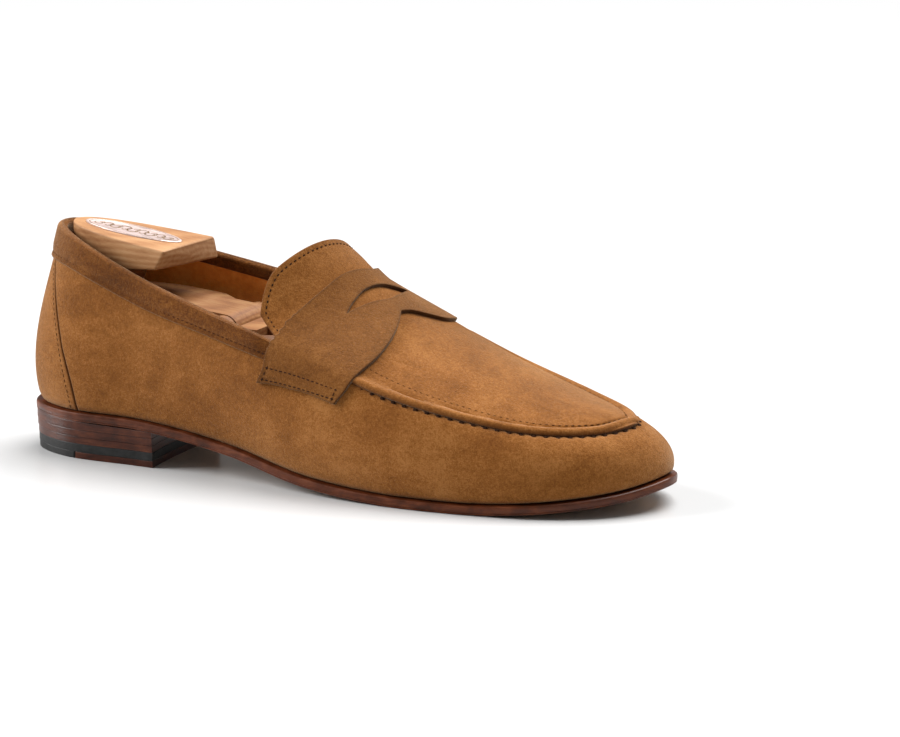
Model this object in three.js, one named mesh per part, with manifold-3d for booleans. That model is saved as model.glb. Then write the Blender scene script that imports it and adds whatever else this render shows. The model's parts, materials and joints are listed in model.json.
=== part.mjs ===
// Penny loafer for the right foot, with a cedar shoe tree stored in it.
// Millimetres, +X to the toe, +Y to the inner (medial) side, +Z up.
// Outlines are laid out from the back of the heel; the group is moved at the end
// so that the origin lies under the middle of the shoe.

import * as THREE from 'three';
import * as BufferGeometryUtils from 'three/addons/utils/BufferGeometryUtils.js';
import Module from 'manifold-3d';

const wasm = await Module();
wasm.setup();

// ---- driving dimensions ----
const SOLE_THICKNESS = 4;
const WELT = 2.4;              // how far the sole edge stands out past the upper
const GAP = 0.4;               // between layers that lie on each other
const JOINT_GAP = 0.3;         // between pieces that meet edge to edge
const FOLD_GAP = 0.5;          // inside the collar's fold
const SUEDE = 1.2;
const STIFFENER = 0.9;
const LINING = 0.9;
const BINDING = 1.0;
const STRAP = 1.8;
const STRAP_LIFT = 0.9;        // between the strap and the upper under it
const COLLAR_LOW = 0.8;        // v of the folded collar's outer hem
const COLLAR_END = 0.231;      // u where the collar runs under the strap
const EDGE_DROP = 1.4;         // the layers stop this far below the topline and the seam
const HEEL_BREAST = 71;        // x of the front face of the heel
const LIFT_GAP = 0.1;
const HEEL_LIFTS = [3.1, 3.1];
const RUBBER_BAND = 3.6;
const TOP_PIECE = 3;
const NAIL_R = 0.9;
const NAIL_SPOTS = [[22, -15], [22, 15], [56, -18], [56, 18]];
const ROLL_R = 1.6;            // raised roll on the apron seam
const HINGE = { x: 97, z: 60, r: 7, pin: 2.5, halfWidth: 14 };
const TREE_CLEARANCE = 1.8;    // between the tree and the lining

// Sole outline from the back of the heel round the outer side to the toe and back
// along the inner side; z is the underside of the sole.
const SOLE = loop([
  [0, 0, 17.2], [5, -18.5, 17.1], [25, -31, 16.8], [66, -33, 16.1], [108, -36, 10.8],
  [148, -43, 3], [188, -46.5, 0.1], [222, -44.5, 0], [256, -37, 2.4], [283, -19.5, 6],
  [296.5, 3, 9.6], [289, 25, 7], [262, 40, 3], [226, 46, 0], [186, 40, 0.1],
  [146, 30, 3], [106, 27, 11], [66, 30, 16.1], [25, 29.5, 16.8], [5, 17.5, 17.1],
]);
// Topline of the opening, running on into the apron seam round the toe.
const TOP = loop([
  [11, 0, 100], [13.5, -8.5, 99.2], [27, -18, 95.3], [62, -25.5, 82.3], [100, -30.8, 71.2],
  [138, -36.3, 61], [180, -41.3, 47], [215, -38.7, 39.2], [247, -30.3, 34], [271, -15, 33],
  [281, 3, 34.5], [273, 15.5, 35.5], [252, 24.5, 39.8], [218, 29, 48.6], [182, 32, 60],
  [141, 32, 72], [100, 28.7, 80.7], [62, 24.5, 88.3], [27, 17.5, 95.8], [13.5, 8.5, 99.2],
]);
// Side profile at the same stations: [bulge, rise] of its lower and upper control points.
const LOW = loop([
  [8, 26], [8, 25], [6, 22], [4, 20], [4, 18], [5, 16], [5, 14], [5, 13], [5, 12], [5, 10],
  [3.5, 9], [5, 11], [5, 14], [6, 17], [6, 18], [7, 18], [8, 20], [4, 20], [6, 22], [8, 25],
]);
const HIGH = loop([
  [4.5, 24], [4.5, 24], [5, 20], [4, 20], [5, 16], [5, 12], [5, 8], [5, 5], [6, 4], [8, 3],
  [8, 3], [8, 4], [7, 7], [7, 9], [6, 12], [4, 14], [4, 16], [4, 20], [5, 20], [4.5, 24],
]);
// Apron with its tongue: outer edge, ridge and inner edge, from the tongue's top to the toe.
const APRON_OUTER = path([
  [117.3, -28.2, 79.3], [127, -31.8, 68], [138, -36.3, 61], [180, -41.3, 47],
  [215, -38.7, 39.2], [247, -30.3, 34], [271, -15, 33], [281, 3, 34.5],
]);
const APRON_RIDGE = path([
  [138, 2, 100.3], [148, 6, 88.6], [160, 7, 79], [185, 5, 66.6],
  [215, 1, 55.3], [245, -1, 45.2], [268, -1, 39.3], [281, 3, 35],
]);
const APRON_INNER = path([
  [134, 29, 80], [137, 31.5, 76], [141, 32, 72], [182, 32, 60],
  [218, 29, 48.6], [252, 24.5, 39.8], [273, 15.5, 35.5], [281, 3, 34.5],
]);
const APRON_ROUNDNESS = path([[0.6], [0.6], [0.65], [0.75], [0.9], [1], [1], [1]]);
// Strap edges as [place across the upper, station along it]; see skin().
const STRAP_REAR = path([
  [-1.4, 1.62], [-1.23, 1.75], [-1.03, 1.76], [-0.93, 1.52], [-0.83, 1.29], [-0.5, 1.14], [-0.26, 1.09],
  [0, 1.18], [0.28, 1.38], [0.6, 1.42], [0.85, 1.45], [1, 1.65], [1.15, 1.75], [1.38, 1.62],
]);
const NOTCH = -0.11;           // where the strap's two front lobes meet
const STRAP_FRONT_OUTER = path([
  [-1.3, 2.6], [-1.11, 2.74], [-0.94, 2.79], [-0.78, 2.82], [-0.55, 2.79], [-0.33, 2.7], [NOTCH, 2.56],
]);
const STRAP_FRONT_INNER = path([
  [NOTCH, 2.56], [0.01, 2.66], [0.15, 2.9], [0.32, 3.16], [0.55, 3.28], [0.8, 3.24], [1.05, 3.05], [1.3, 2.8],
]);
const SLOT_REAR = path([
  [-0.57, 2.07], [-0.39, 1.91], [-0.2, 1.82], [0.01, 1.88], [0.22, 2.07], [0.46, 2.34],
]);
const SLOT_FRONT = path([
  [-0.57, 2.07], [-0.43, 2.09], [-0.23, 2.16], [-0.05, 2.27], [0.11, 2.3], [0.46, 2.34],
]);

// Grids that every layer of the upper is divided on.
const U_GRID = range(-0.5, 1, 96);
const V_GRID = [0, 0.22, 0.42, 0.6, 0.7, 0.8, 1];
const S_GRID = range(0, 7, 25);
const A_GRID = [-1, -0.85, -0.65, -0.42, -0.2, 0, 0.2, 0.42, 0.65, 0.85, 1];

// ---- materials ----
const suede = material(0x8f6234, 0.95);
const collarSuede = material(0x73491f, 0.95);
const liningLeather = material(0xb8702f, 0.6);
const soleLeather = material(0x4a1f14, 0.45);
const stackLeather = material(0x5b2c1c, 0.5);
const blackRubber = material(0x16181a, 0.6);
const cedar = material(0xd9a876, 0.6);
const board = material(0xc4a57a, 0.9);
const cork = material(0xa9824f, 0.95);
const thermoplastic = material(0xd8d2c4, 0.8);
const steel = material(0x9aa0a6, 0.3, 1);
const brass = material(0xb58e4a, 0.35, 1);
const plaqueMetal = material(0xcbb3b0, 0.35, 0.9);

const shoe = new THREE.Group();

// ---- helpers: curves ----
function vector(p) {
  return new THREE.Vector3(p[0], p[1] ?? 0, p[2] ?? 0);
}

function loop(points) {
  return new THREE.CatmullRomCurve3(points.map(vector), true, 'centripetal');
}

function path(points) {
  return new THREE.CatmullRomCurve3(points.map(vector), false, 'centripetal');
}

function at(curve, t) {
  return curve.getPoint(curve.closed ? ((t % 1) + 1) % 1 : THREE.MathUtils.clamp(t, 0, 1));
}

function range(from, to, steps) {
  return Array.from({ length: steps + 1 }, (_, i) => from + (to - from) * i / steps);
}

// `from`, `to` and the values of a grid between them, so that layers share their corners.
function onGrid(grid, from, to) {
  const margin = (grid[1] - grid[0]) * 0.3;
  return [from, ...grid.filter(x => x > from + margin && x < to - margin), to];
}

function material(color, roughness, metalness = 0) {
  return new THREE.MeshStandardMaterial({ color, roughness, metalness });
}

// ---- the last: side walls and apron ----
function soleUnderside(u) {
  const p = at(SOLE, u);
  p.z = Math.max(0, p.z);
  return p;
}

function outward(u) {
  const t = soleUnderside(u + 1e-3).sub(soleUnderside(u - 1e-3));
  return new THREE.Vector3(t.y, -t.x, 0).normalize();
}

function bezier(a, b, c, d, t) {
  const s = 1 - t;
  return new THREE.Vector3()
    .addScaledVector(a, s * s * s)
    .addScaledVector(b, 3 * s * s * t)
    .addScaledVector(c, 3 * s * t * t)
    .addScaledVector(d, t * t * t);
}

// u goes round the shoe as SOLE does, v from the sole (0) to the topline or seam (1).
function wall(u, v) {
  const n = outward(u);
  const foot = soleUnderside(u).addScaledVector(n, -WELT);
  foot.z += SOLE_THICKNESS;
  const top = at(TOP, u);
  const low = at(LOW, u);
  const high = at(HIGH, u);
  const p1 = foot.clone().addScaledVector(n, low.x);
  p1.z += low.y;
  const p2 = top.clone().addScaledVector(n, high.x);
  p2.z -= high.y;
  return bezier(foot, p1, p2, top, v);
}

// s goes from the tongue's top (0) to the toe (7), a across from the outer to the inner edge.
function apron(s, a) {
  const l = at(APRON_OUTER, s / 7);
  const r = at(APRON_INNER, s / 7);
  const middle = l.clone().add(r).multiplyScalar(0.5);
  const crown = Math.max(0, 1 - a * a) ** at(APRON_ROUNDNESS, s / 7).x;
  return middle.clone()
    .addScaledVector(r.sub(l), a / 2)
    .addScaledVector(at(APRON_RIDGE, s / 7).sub(middle), crown);
}

// The whole front of the upper: g from -2 (outer sole edge) over the apron to 2 (inner).
function skin(s, g) {
  if (g < -1) return wall((s + 3) / 20, 2 + g);
  if (g > 1) return wall((17 - s) / 20, 2 - g);
  return apron(s, g);
}

// skin() with the seam's crease smoothed out, as the strap spans it.
function strapSeat(s, g) {
  const p = new THREE.Vector3();
  [0.1, 0.25, 0.3, 0.25, 0.1].forEach((w, k) => p.addScaledVector(skin(s, g + (k - 2) * 0.05), w));
  return p;
}

function normalOf(surface, u, v) {
  const e = 1e-3;
  const du = surface(u + e, v).sub(surface(u - e, v));
  const dv = surface(u, Math.min(v + e, 1.99)).sub(surface(u, v - e));
  return du.cross(dv).normalize();
}

function wallNormal(u, v) {
  const e = 1e-3;
  const hi = Math.min(1, v + e);
  const lo = Math.max(0, v - e);
  return wall(u + e, v).sub(wall(u - e, v)).cross(wall(u, hi).sub(wall(u, lo))).normalize();
}

function wallAt(u, v, depth) {
  return wall(u, v).addScaledVector(wallNormal(u, v), -depth);
}

function apronAt(s, a, depth) {
  const e = 1e-3;
  const lo = Math.max(0, s - e);
  const hi = Math.min(7, s + e);
  const n = apron(hi, a).sub(apron(lo, a))
    .cross(apron(s, Math.min(1, a + e)).sub(apron(s, Math.max(-1, a - e)))).normalize();
  return apron(s, a).addScaledVector(n, -depth);
}

// ---- helpers: closed bodies ----
function geometryFrom(points, triangles) {
  const g = new THREE.BufferGeometry();
  g.setAttribute('position', new THREE.Float32BufferAttribute(points.flatMap(p => [p.x, p.y, p.z]), 3));
  g.setIndex(triangles.flat());
  return g;
}

// Numbers points, giving those that coincide one number.
function numbering(points) {
  const ids = new Map();
  return (p, ...more) => {
    const key = p.toArray().map(x => x.toFixed(4)).join();
    if (!ids.has(key)) {
      ids.set(key, points.length / (1 + more.length));
      points.push(p, ...more);
    }
    return ids.get(key);
  };
}

const isWhole = ([a, b, c]) => a !== b && b !== c && a !== c;

// A sheet of cells with an outer and an inner face, closed along its free edges.
// rows[i][j] is {outer, inner}; skip(i, j) leaves a cell out, as a slot does.
function sheet(rows, skip = () => false) {
  const points = [];
  const idOf = numbering(points);
  const faces = [];
  for (let i = 0; i + 1 < rows.length; i++) {
    for (let j = 0; j + 1 < rows[i].length; j++) {
      if (skip(i, j)) continue;
      const q = [rows[i][j], rows[i + 1][j], rows[i + 1][j + 1], rows[i][j + 1]]
        .map(cell => idOf(cell.outer, cell.inner));
      faces.push([q[0], q[1], q[2]], [q[0], q[2], q[3]]);
    }
  }
  const whole = faces.filter(isWhole);
  const edges = new Map();
  whole.forEach(f => f.forEach((a, k) => edges.set(`${a},${f[(k + 1) % 3]}`, [a, f[(k + 1) % 3]])));
  const triangles = [];
  whole.forEach(([a, b, c]) => {
    triangles.push([2 * a, 2 * b, 2 * c], [2 * c + 1, 2 * b + 1, 2 * a + 1]);
  });
  for (const [a, b] of edges.values()) {
    if (edges.has(`${b},${a}`)) continue;
    triangles.push([2 * b, 2 * a, 2 * a + 1], [2 * b, 2 * a + 1, 2 * b + 1]);
  }
  return facingOut(geometryFrom(points, triangles));
}

// A grid of cells from outer(u, v) and inner(u, v).
function patch(us, vs, outer, inner) {
  return sheet(us.map(u => vs.map(v => ({ outer: outer(u, v), inner: inner(u, v) }))));
}

// Rings of points joined one to the next, with a fan from its middle on each end.
function loft(rings) {
  const points = [];
  const idOf = numbering(points);
  const n = rings[0].length;
  const triangles = [];
  rings.slice(1).forEach((ring, i) => {
    for (let j = 0; j < n; j++) {
      const [a, b, c, d] = [rings[i][j], rings[i][(j + 1) % n], ring[(j + 1) % n], ring[j]].map(p => idOf(p));
      triangles.push([a, b, c], [a, c, d]);
    }
  });
  const fan = (ring, flip) => {
    const middle = ring.reduce((sum, p) => sum.add(p), new THREE.Vector3()).divideScalar(n);
    ring.forEach((p, j) => {
      const [a, b] = [p, ring[(j + 1) % n]].map(q => idOf(q));
      triangles.push(flip ? [b, a, idOf(middle)] : [a, b, idOf(middle)]);
    });
  };
  fan(rings[0], true);
  fan(rings.at(-1), false);
  return facingOut(geometryFrom(points, triangles.filter(isWhole)));
}

function volume(g) {
  const p = g.attributes.position;
  const v = [0, 1, 2].map(() => new THREE.Vector3());
  let sum = 0;
  for (let i = 0; i < g.index.count; i += 3) {
    v.forEach((w, k) => w.fromBufferAttribute(p, g.index.getX(i + k)));
    sum += v[0].dot(v[1].clone().cross(v[2]));
  }
  return sum / 6;
}

function facingOut(g) {
  if (volume(g) < 0) {
    const index = g.index.array;
    for (let i = 0; i < index.length; i += 3) [index[i], index[i + 2]] = [index[i + 2], index[i]];
  }
  return g;
}

function solid(geometry) {
  const g = geometry.clone();
  g.deleteAttribute('normal');
  g.deleteAttribute('uv');
  const merged = BufferGeometryUtils.mergeVertices(g, 1e-4);
  return new wasm.Manifold(new wasm.Mesh({
    numProp: 3,
    vertProperties: new Float32Array(merged.attributes.position.array),
    triVerts: new Uint32Array(merged.index.array),
  }));
}

function geometryOf(body) {
  const mesh = body.getMesh();
  const g = new THREE.BufferGeometry();
  g.setAttribute('position', new THREE.BufferAttribute(new Float32Array(mesh.vertProperties), 3));
  g.setIndex(new THREE.BufferAttribute(new Uint32Array(mesh.triVerts), 1));
  return g;
}

function cut(geometry, ...tools) {
  return geometryOf(tools.reduce((body, tool) => body.subtract(solid(tool)), solid(geometry)));
}

function join(...pieces) {
  return geometryOf(pieces.map(solid).reduce((a, b) => a.add(b)));
}

function add(name, geometry, finish) {
  const mesh = new THREE.Mesh(geometry, finish);
  mesh.name = name;
  shoe.add(mesh);
}

function box(x0, x1, y0, y1, z0, z1) {
  return new THREE.BoxGeometry(x1 - x0, y1 - y0, z1 - z0)
    .translate((x0 + x1) / 2, (y0 + y1) / 2, (z0 + z1) / 2);
}

// A round bar along Y (across the shoe).
function barAcross(radius, x, z, y0, y1, sides = 20) {
  return new THREE.CylinderGeometry(radius, radius, y1 - y0, sides).translate(x, (y0 + y1) / 2, z);
}

// An upright round bar.
function barUp(radius, x, y, z0, z1, sides = 12) {
  return new THREE.CylinderGeometry(radius, radius, z1 - z0, sides)
    .rotateX(Math.PI / 2).translate(x, y, (z0 + z1) / 2);
}

// ---- sole and heel ----
// A plate that follows the sole's underside, from height `from` to height `to` above it.
function solePlate(uStart, uEnd, inset, from, to, steps, across = 2) {
  const edge = (u, w) => {
    const l = soleUnderside(u).addScaledVector(outward(u), -inset);
    const r = soleUnderside(1 - u).addScaledVector(outward(1 - u), -inset);
    return l.lerp(r, w);
  };
  const lift = (p, h) => p.setZ(p.z + h);
  return patch(range(uStart, uEnd, steps), range(0, 1, across),
    (u, w) => lift(edge(u, w), to), (u, w) => lift(edge(u, w), from));
}

function makeSole() {
  add('outsole', solePlate(0, 0.5, 0, 0, SOLE_THICKNESS, 40, 4), soleLeather);
  const seat = SOLE_THICKNESS + GAP;
  add('cork_filler', solePlate(0.24, 0.47, 8, seat, seat + 1, 16), cork);
  add('insole_board', solePlate(0.01, 0.49, 6.6, seat + 1.4, seat + 3, 28), board);
  add('sock_liner', solePlate(0.01, 0.49, 6.6, seat + 3 + GAP, seat + 4.2, 28), liningLeather);
  add('shank', makeShank(seat), steel);
}

// Spring steel strip in the waist, from the heel seat to the ball.
function makeShank(seat) {
  const halfWidth = 6;
  const line = (u) => {
    const p = soleUnderside(u);
    return p.lerp(soleUnderside(1 - u), 0.5).setY(-1);
  };
  return patch(range(0.125, 0.232, 10), [-halfWidth, halfWidth],
    (u, y) => { const p = line(u); return p.set(p.x, p.y + y, p.z + seat + 0.9); },
    (u, y) => { const p = line(u); return p.set(p.x, p.y + y, p.z + seat); });
}

// Heel outline at one height, narrower towards the ground.
function heelShape(inset) {
  const side = (sign) => range(0.002, 0.155, 10).map(u => {
    const around = sign < 0 ? u : 1 - u;
    return soleUnderside(around).addScaledVector(outward(around), -inset);
  }).filter(p => p.x < HEEL_BREAST - 2);
  const outer = side(-1);
  const inner = side(1);
  const yOf = (s) => s.at(-1).y;
  const points = [...outer, new THREE.Vector3(HEEL_BREAST, yOf(outer), 0),
    new THREE.Vector3(HEEL_BREAST, yOf(inner), 0), ...inner.reverse()];
  return new THREE.Shape(points.map(p => new THREE.Vector2(p.x, p.y)));
}

function heelLayer(inset, z0, z1) {
  return new THREE.ExtrudeGeometry(heelShape(inset), { depth: z1 - z0, bevelEnabled: false })
    .translate(0, 0, z0);
}

function makeHeel() {
  const nailHoles = NAIL_SPOTS.map(([x, y]) => barUp(NAIL_R + JOINT_GAP, x, y, TOP_PIECE + 1.2, 14.2));
  let z = 0;
  const layer = (height) => {
    const from = z;
    z += height + LIFT_GAP;
    return [from, from + height];
  };
  const [low, high] = layer(TOP_PIECE);
  const tip = heelLayer(1.2, low, high);
  const front = box(32, 90, -50, 50, -1, TOP_PIECE + 1);
  add('top_piece_leather', geometryOf(solid(tip).intersect(solid(front))), stackLeather);
  add('top_piece_rubber', cut(tip, box(31.7, 90, -50, 50, -1, TOP_PIECE + 1)), blackRubber);
  add('heel_rubber_lift', cut(heelLayer(1, ...layer(RUBBER_BAND)), ...nailHoles), blackRubber);
  HEEL_LIFTS.forEach((height, i) => {
    const inset = 0.8 - 0.3 * i;
    add(`heel_lift_${i + 1}`, cut(heelLayer(inset, ...layer(height)), ...nailHoles), stackLeather);
  });
  add('heel_seat_lift', makeSeatLift(z), stackLeather);
  NAIL_SPOTS.forEach(([x, y], i) => {
    add(`heel_nail_${i + 1}`, barUp(NAIL_R, x, y, TOP_PIECE + 1.5, 12.4), steel);
  });
}

// The top lift, shaped on its upper side to the sloping underside of the sole.
function makeSeatLift(z) {
  const edge = (u, w) => soleUnderside(u).lerp(soleUnderside(1 - u), w);
  return patch(range(0.002, 0.153, 14), [0, 1],
    (u, w) => { const p = edge(u, w); return p.setZ(p.z - LIFT_GAP); },
    (u, w) => edge(u, w).setZ(z));
}

// ---- upper ----
// v at a distance below the topline or seam.
function belowTop(u, drop) {
  return 1 - drop / wall(u, 1).distanceTo(wall(u, 0.9)) * 0.1;
}

// The curved seam between the back piece and the side walls.
function backSeam(v) {
  return 0.11 - 0.075 * v * v;
}

// Layers of the wall, outermost first: suede, stiffener, lining.
const STIFFENER_DEPTH = SUEDE + GAP;
const LINING_DEPTH = STIFFENER_DEPTH + STIFFENER + GAP;

// The lining closes up to the suede towards the topline, where no stiffener lies between.
function liningDepth(v) {
  return THREE.MathUtils.lerp(LINING_DEPTH, SUEDE + GAP, THREE.MathUtils.smoothstep(v, 0.6, 0.7));
}

// A layer of the wall. Each column is its u, as a function of v; top(u) is where it ends.
function wallLayer(columns, bottom, top, depthOf, thickness) {
  const lowestTop = Math.min(...columns.map(column => top(column(1))));
  const between = onGrid(V_GRID, bottom, lowestTop).slice(1, -1);
  return sheet(columns.map(column => [bottom, ...between, top(column(1))].map((v) => {
    const u = column(v);
    return { outer: wallAt(u, v, depthOf(v)), inner: wallAt(u, v, depthOf(v) + thickness) };
  })));
}

function makeWalls() {
  const seamHalfGap = 0.0016;
  const seamZone = U_GRID.find(u => u > 0.15);
  const skinTop = u => belowTop(u, EDGE_DROP);
  const straight = (from, to) => onGrid(U_GRID, from, to).map(u => () => u);
  const fromSeam = range(0, 1, 11).slice(0, -1).map(t => v => (
    THREE.MathUtils.lerp(backSeam(v) + seamHalfGap, seamZone, t)
  ));
  const toSeam = fromSeam.toReversed().map(column => v => 1 - column(v));
  add('upper_wall', wallLayer([...fromSeam, ...straight(seamZone, 1 - seamZone), ...toSeam],
    0.008, skinTop, () => 0, SUEDE), suede);
  add('back_piece', wallLayer(range(-1, 1, 16).map(t => v => t * (backSeam(v) - seamHalfGap)),
    0.008, skinTop, () => 0, SUEDE), suede);
  const stiffener = (name, from, to, bottom, top) => {
    add(name, wallLayer(straight(from, to), bottom, () => top, () => STIFFENER_DEPTH, STIFFENER),
      thermoplastic);
  };
  stiffener('heel_counter', -0.16, 0.16, 0.02, 0.6);
  stiffener('side_stiffener_outer', 0.19, 0.37, 0.03, 0.6);
  stiffener('side_stiffener_inner', 0.63, 0.81, 0.03, 0.6);
  stiffener('toe_puff', 0.4, 0.6, 0.04, 0.6);
  add('quarter_lining', wallLayer(straight(-0.258, 0.258), 0.02, skinTop, liningDepth, LINING),
    liningLeather);
  add('vamp_lining', wallLayer(straight(0.262, 0.738), 0.03, u => belowTop(u, 6),
    () => LINING_DEPTH, LINING), liningLeather);
}

// The folded collar: an outer leg, over the topline, and a short leg inside.
function makeCollar() {
  const section = (u, outerSide) => {
    const skinSide = outerSide ? -(FOLD_GAP + BINDING) : -FOLD_GAP;
    const innerSide = SUEDE + GAP + LINING + FOLD_GAP + (outerSide ? BINDING : 0);
    const rim = outerSide ? 0 : BINDING;
    const n = wallNormal(u, 1);
    const down = wall(u, 0.95).sub(wall(u, 1)).normalize();
    const overRim = (depth, drop) => wall(u, 1).addScaledVector(n, -depth).addScaledVector(down, drop);
    const insideHem = belowTop(u, 6.5);
    return [
      ...[COLLAR_LOW, belowTop(u, EDGE_DROP + 0.2)].map(v => wallAt(u, v, skinSide)),
      overRim(skinSide + 0.35, rim + 0.3),
      overRim((skinSide + innerSide) / 2, rim - 0.15),
      overRim(innerSide - 0.35, rim + 0.3),
      ...[belowTop(u, EDGE_DROP + 0.2), insideHem].map(v => wallAt(u, v, innerSide)),
    ];
  };
  add('collar_binding', sheet(onGrid(U_GRID, -COLLAR_END, COLLAR_END).map((u) => {
    const outer = section(u, true);
    const inner = section(u, false);
    return outer.map((p, i) => ({ outer: p, inner: inner[i] }));
  })), collarSuede);
}

// Half-width of the apron in a, kept `inset` mm inside its edges.
function apronReach(s, inset) {
  const halfWidth = at(APRON_OUTER, s / 7).distanceTo(at(APRON_INNER, s / 7)) / 2;
  return 1 - inset / halfWidth;
}

function apronLayer(sFrom, sTo, depth, thickness, margins) {
  const inside = A_GRID.slice(1, -1);
  return sheet(onGrid(S_GRID, sFrom, sTo).map(s => (
    [...margins(s).map(a => -a), ...inside, ...margins(s)].map(a => (
      { outer: apronAt(s, a, depth), inner: apronAt(s, a, depth + thickness) }
    ))
  )));
}

function makeApron() {
  const seamInset = s => THREE.MathUtils.lerp(0.2, 2.6, THREE.MathUtils.smoothstep(s, 1.2, 2));
  const toTheSeam = s => [apronReach(s, seamInset(s))];
  const lining = (from, to) => apronLayer(from, to, SUEDE + GAP, LINING, () => []);
  add('apron_with_tongue', apronLayer(0, 6.6, 0, SUEDE, toTheSeam), suede);
  add('tongue_lining', lining(0.06, 2.1), liningLeather);
  add('apron_lining', lining(2.16, 6.2), liningLeather);
  const uFrom = (2.98 + 3) / 20;
  const uTo = (17 - 3.45) / 20;
  const seam = range(uFrom, uTo, 40).map((u) => {
    const lifted = wallNormal(u, 1).add(new THREE.Vector3(0, 0, 1)).normalize();
    return wall(u, 1).addScaledVector(lifted, 0.9);
  });
  const ring = new THREE.Shape().absarc(0, 0, ROLL_R, 0, Math.PI * 2);
  add('apron_seam_roll', new THREE.ExtrudeGeometry(ring, {
    steps: 48, curveSegments: 4, bevelEnabled: false, extrudePath: new THREE.CatmullRomCurve3(seam),
  }), suede);
}

// The saddle strap with its slot: two bands of cells that meet outside the slot.
function makeStrap() {
  const reach = (curve, g) => {
    let [lo, hi] = [0, 1];
    for (let i = 0; i < 30; i++) {
      const mid = (lo + hi) / 2;
      if (at(curve, mid).x < g) lo = mid; else hi = mid;
    }
    return at(curve, lo).y;
  };
  const front = g => reach(g < NOTCH ? STRAP_FRONT_OUTER : STRAP_FRONT_INNER, g);
  const [slotFrom, slotTo] = [-0.57, 0.46];
  const inSlot = g => g > slotFrom && g < slotTo;
  const seatLine = g => THREE.MathUtils.lerp(reach(STRAP_REAR, g), front(g), 0.47);
  const slotRear = g => (inSlot(g) ? reach(SLOT_REAR, g) : tipLine(g));
  const slotFront = g => (inSlot(g) ? reach(SLOT_FRONT, g) : tipLine(g));
  const tipLine = (g) => {
    const tip = g <= slotFrom ? at(SLOT_REAR, 0).y : at(SLOT_REAR, 1).y;
    const away = Math.min(1, Math.abs(g - (g <= slotFrom ? slotFrom : slotTo)) / 0.4);
    return THREE.MathUtils.lerp(tip, seatLine(g), away);
  };
  const gs = [...range(-1.39, slotFrom, 9), ...range(slotFrom, slotTo, 12).slice(1),
    ...range(slotTo, 1.38, 14).slice(1)];
  const bandCells = 2;
  const cell = (s, g) => {
    const n = normalOf(strapSeat, s, g);
    const p = strapSeat(s, g);
    return {
      outer: p.clone().addScaledVector(n, STRAP_LIFT + STRAP),
      inner: p.clone().addScaledVector(n, STRAP_LIFT),
    };
  };
  const rows = gs.map((g) => {
    const low = Math.max(g, -1.3);
    const frontS = front(Math.min(low, 1.3));
    const frontG = THREE.MathUtils.clamp(g, -1.3, 1.3);
    const rear = range(0, 1, bandCells).map(q =>
      cell(THREE.MathUtils.lerp(reach(STRAP_REAR, g), slotRear(g), q), g));
    const fore = range(0, 1, bandCells).map(q =>
      cell(THREE.MathUtils.lerp(slotFront(g), frontS, q), THREE.MathUtils.lerp(g, frontG, q)));
    return [...rear, ...fore];
  });
  add('saddle_strap', sheet(rows, (i, j) => j === bandCells), suede);
}

// ---- shoe tree ----
// Plan outline of a tree piece, given as half-widths at stations from the rear.
function plan(stations) {
  const points = stations.map(([x, y]) => new THREE.Vector2(x, y));
  const mirrored = points.slice().reverse().filter(p => p.y > 0).map(p => new THREE.Vector2(p.x, -p.y));
  return [...mirrored, ...points];
}

function upright(points, z0, z1) {
  return new THREE.ExtrudeGeometry(new THREE.Shape(points), { depth: z1 - z0, bevelEnabled: false })
    .translate(0, 0, z0);
}

// A side outline in X and Z, extruded across the shoe.
function acrossShoe(outline, halfWidth) {
  const shape = new THREE.Shape(outline.map(([x, z]) => new THREE.Vector2(x, z)));
  return new THREE.ExtrudeGeometry(shape, { depth: 2 * halfWidth, bevelEnabled: false })
    .rotateX(Math.PI / 2).translate(0, halfWidth, 0);
}

// The sloping top of the heel block.
const BEAK_TOP = { x: 17.5, z: 100.3, slope: -0.1315 };
const beakTopAt = x => BEAK_TOP.z + (x - BEAK_TOP.x) * BEAK_TOP.slope;
const PLANK_TOP = 72;
const DOWEL = { r: 3, spots: [28.5, 37], z0: 63, z1: 84 };
const PLAQUE = { x: 45, halfLength: 23.5, halfWidth: 8.8, thickness: 0.6 };
// Side of the heel block in plan, from its rear tip to the front; the width grows upwards.
const BLOCK_SIDE = path([[15.8, 0], [18, 5.5], [22, 9.2], [28, 12.4], [40, 16.3], [50, 18.5], [58, 19.8]]);
// Its plan at the plank and at 104 mm: width factor, and x of its front corners on each side.
const BLOCK_PLANS = [
  { z: PLANK_TOP + 0.4, width: 0.78, frontOuter: 60, frontInner: 77 },
  { z: 104, width: 1.1, frontOuter: 78, frontInner: 75.5 },
];

function makeHeelPart() {
  const dowelHoles = DOWEL.spots.map(x => barUp(DOWEL.r + JOINT_GAP, x, 0, DOWEL.z0 - 0.5, DOWEL.z1 + 0.5));
  const barrel = barAcross(HINGE.r, HINGE.x, HINGE.z, -HINGE.halfWidth, HINGE.halfWidth, 28);
  const side = acrossShoe([[22, 58], [22, PLANK_TOP], [60, 70.5], [HINGE.x, HINGE.z + HINGE.r],
    [HINGE.x, HINGE.z - HINGE.r], [60, 56]], 30);
  const outline = plan([[23, 9], [28, 13], [38, 17], [55, 19.5], [80, 19.5], [88, HINGE.halfWidth],
    [HINGE.x, HINGE.halfWidth]]);
  const wide = geometryOf(solid(upright(outline, 40, 90)).intersect(solid(side)));
  const pinHole = barAcross(HINGE.pin + 0.15, HINGE.x, HINGE.z, -30, 30, 24);
  add('tree_plank', cut(join(wide, barrel), pinHole, ...dowelHoles), cedar);
  add('tree_heel_block', cut(makeHeelBlock(), ...dowelHoles), cedar);
  DOWEL.spots.forEach((x, i) => {
    add(`tree_dowel_${i + 1}`, barUp(DOWEL.r, x, 0, DOWEL.z0, DOWEL.z1), cedar);
  });
  add('tree_plaque', makePlaque(), plaqueMetal);
}

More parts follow.
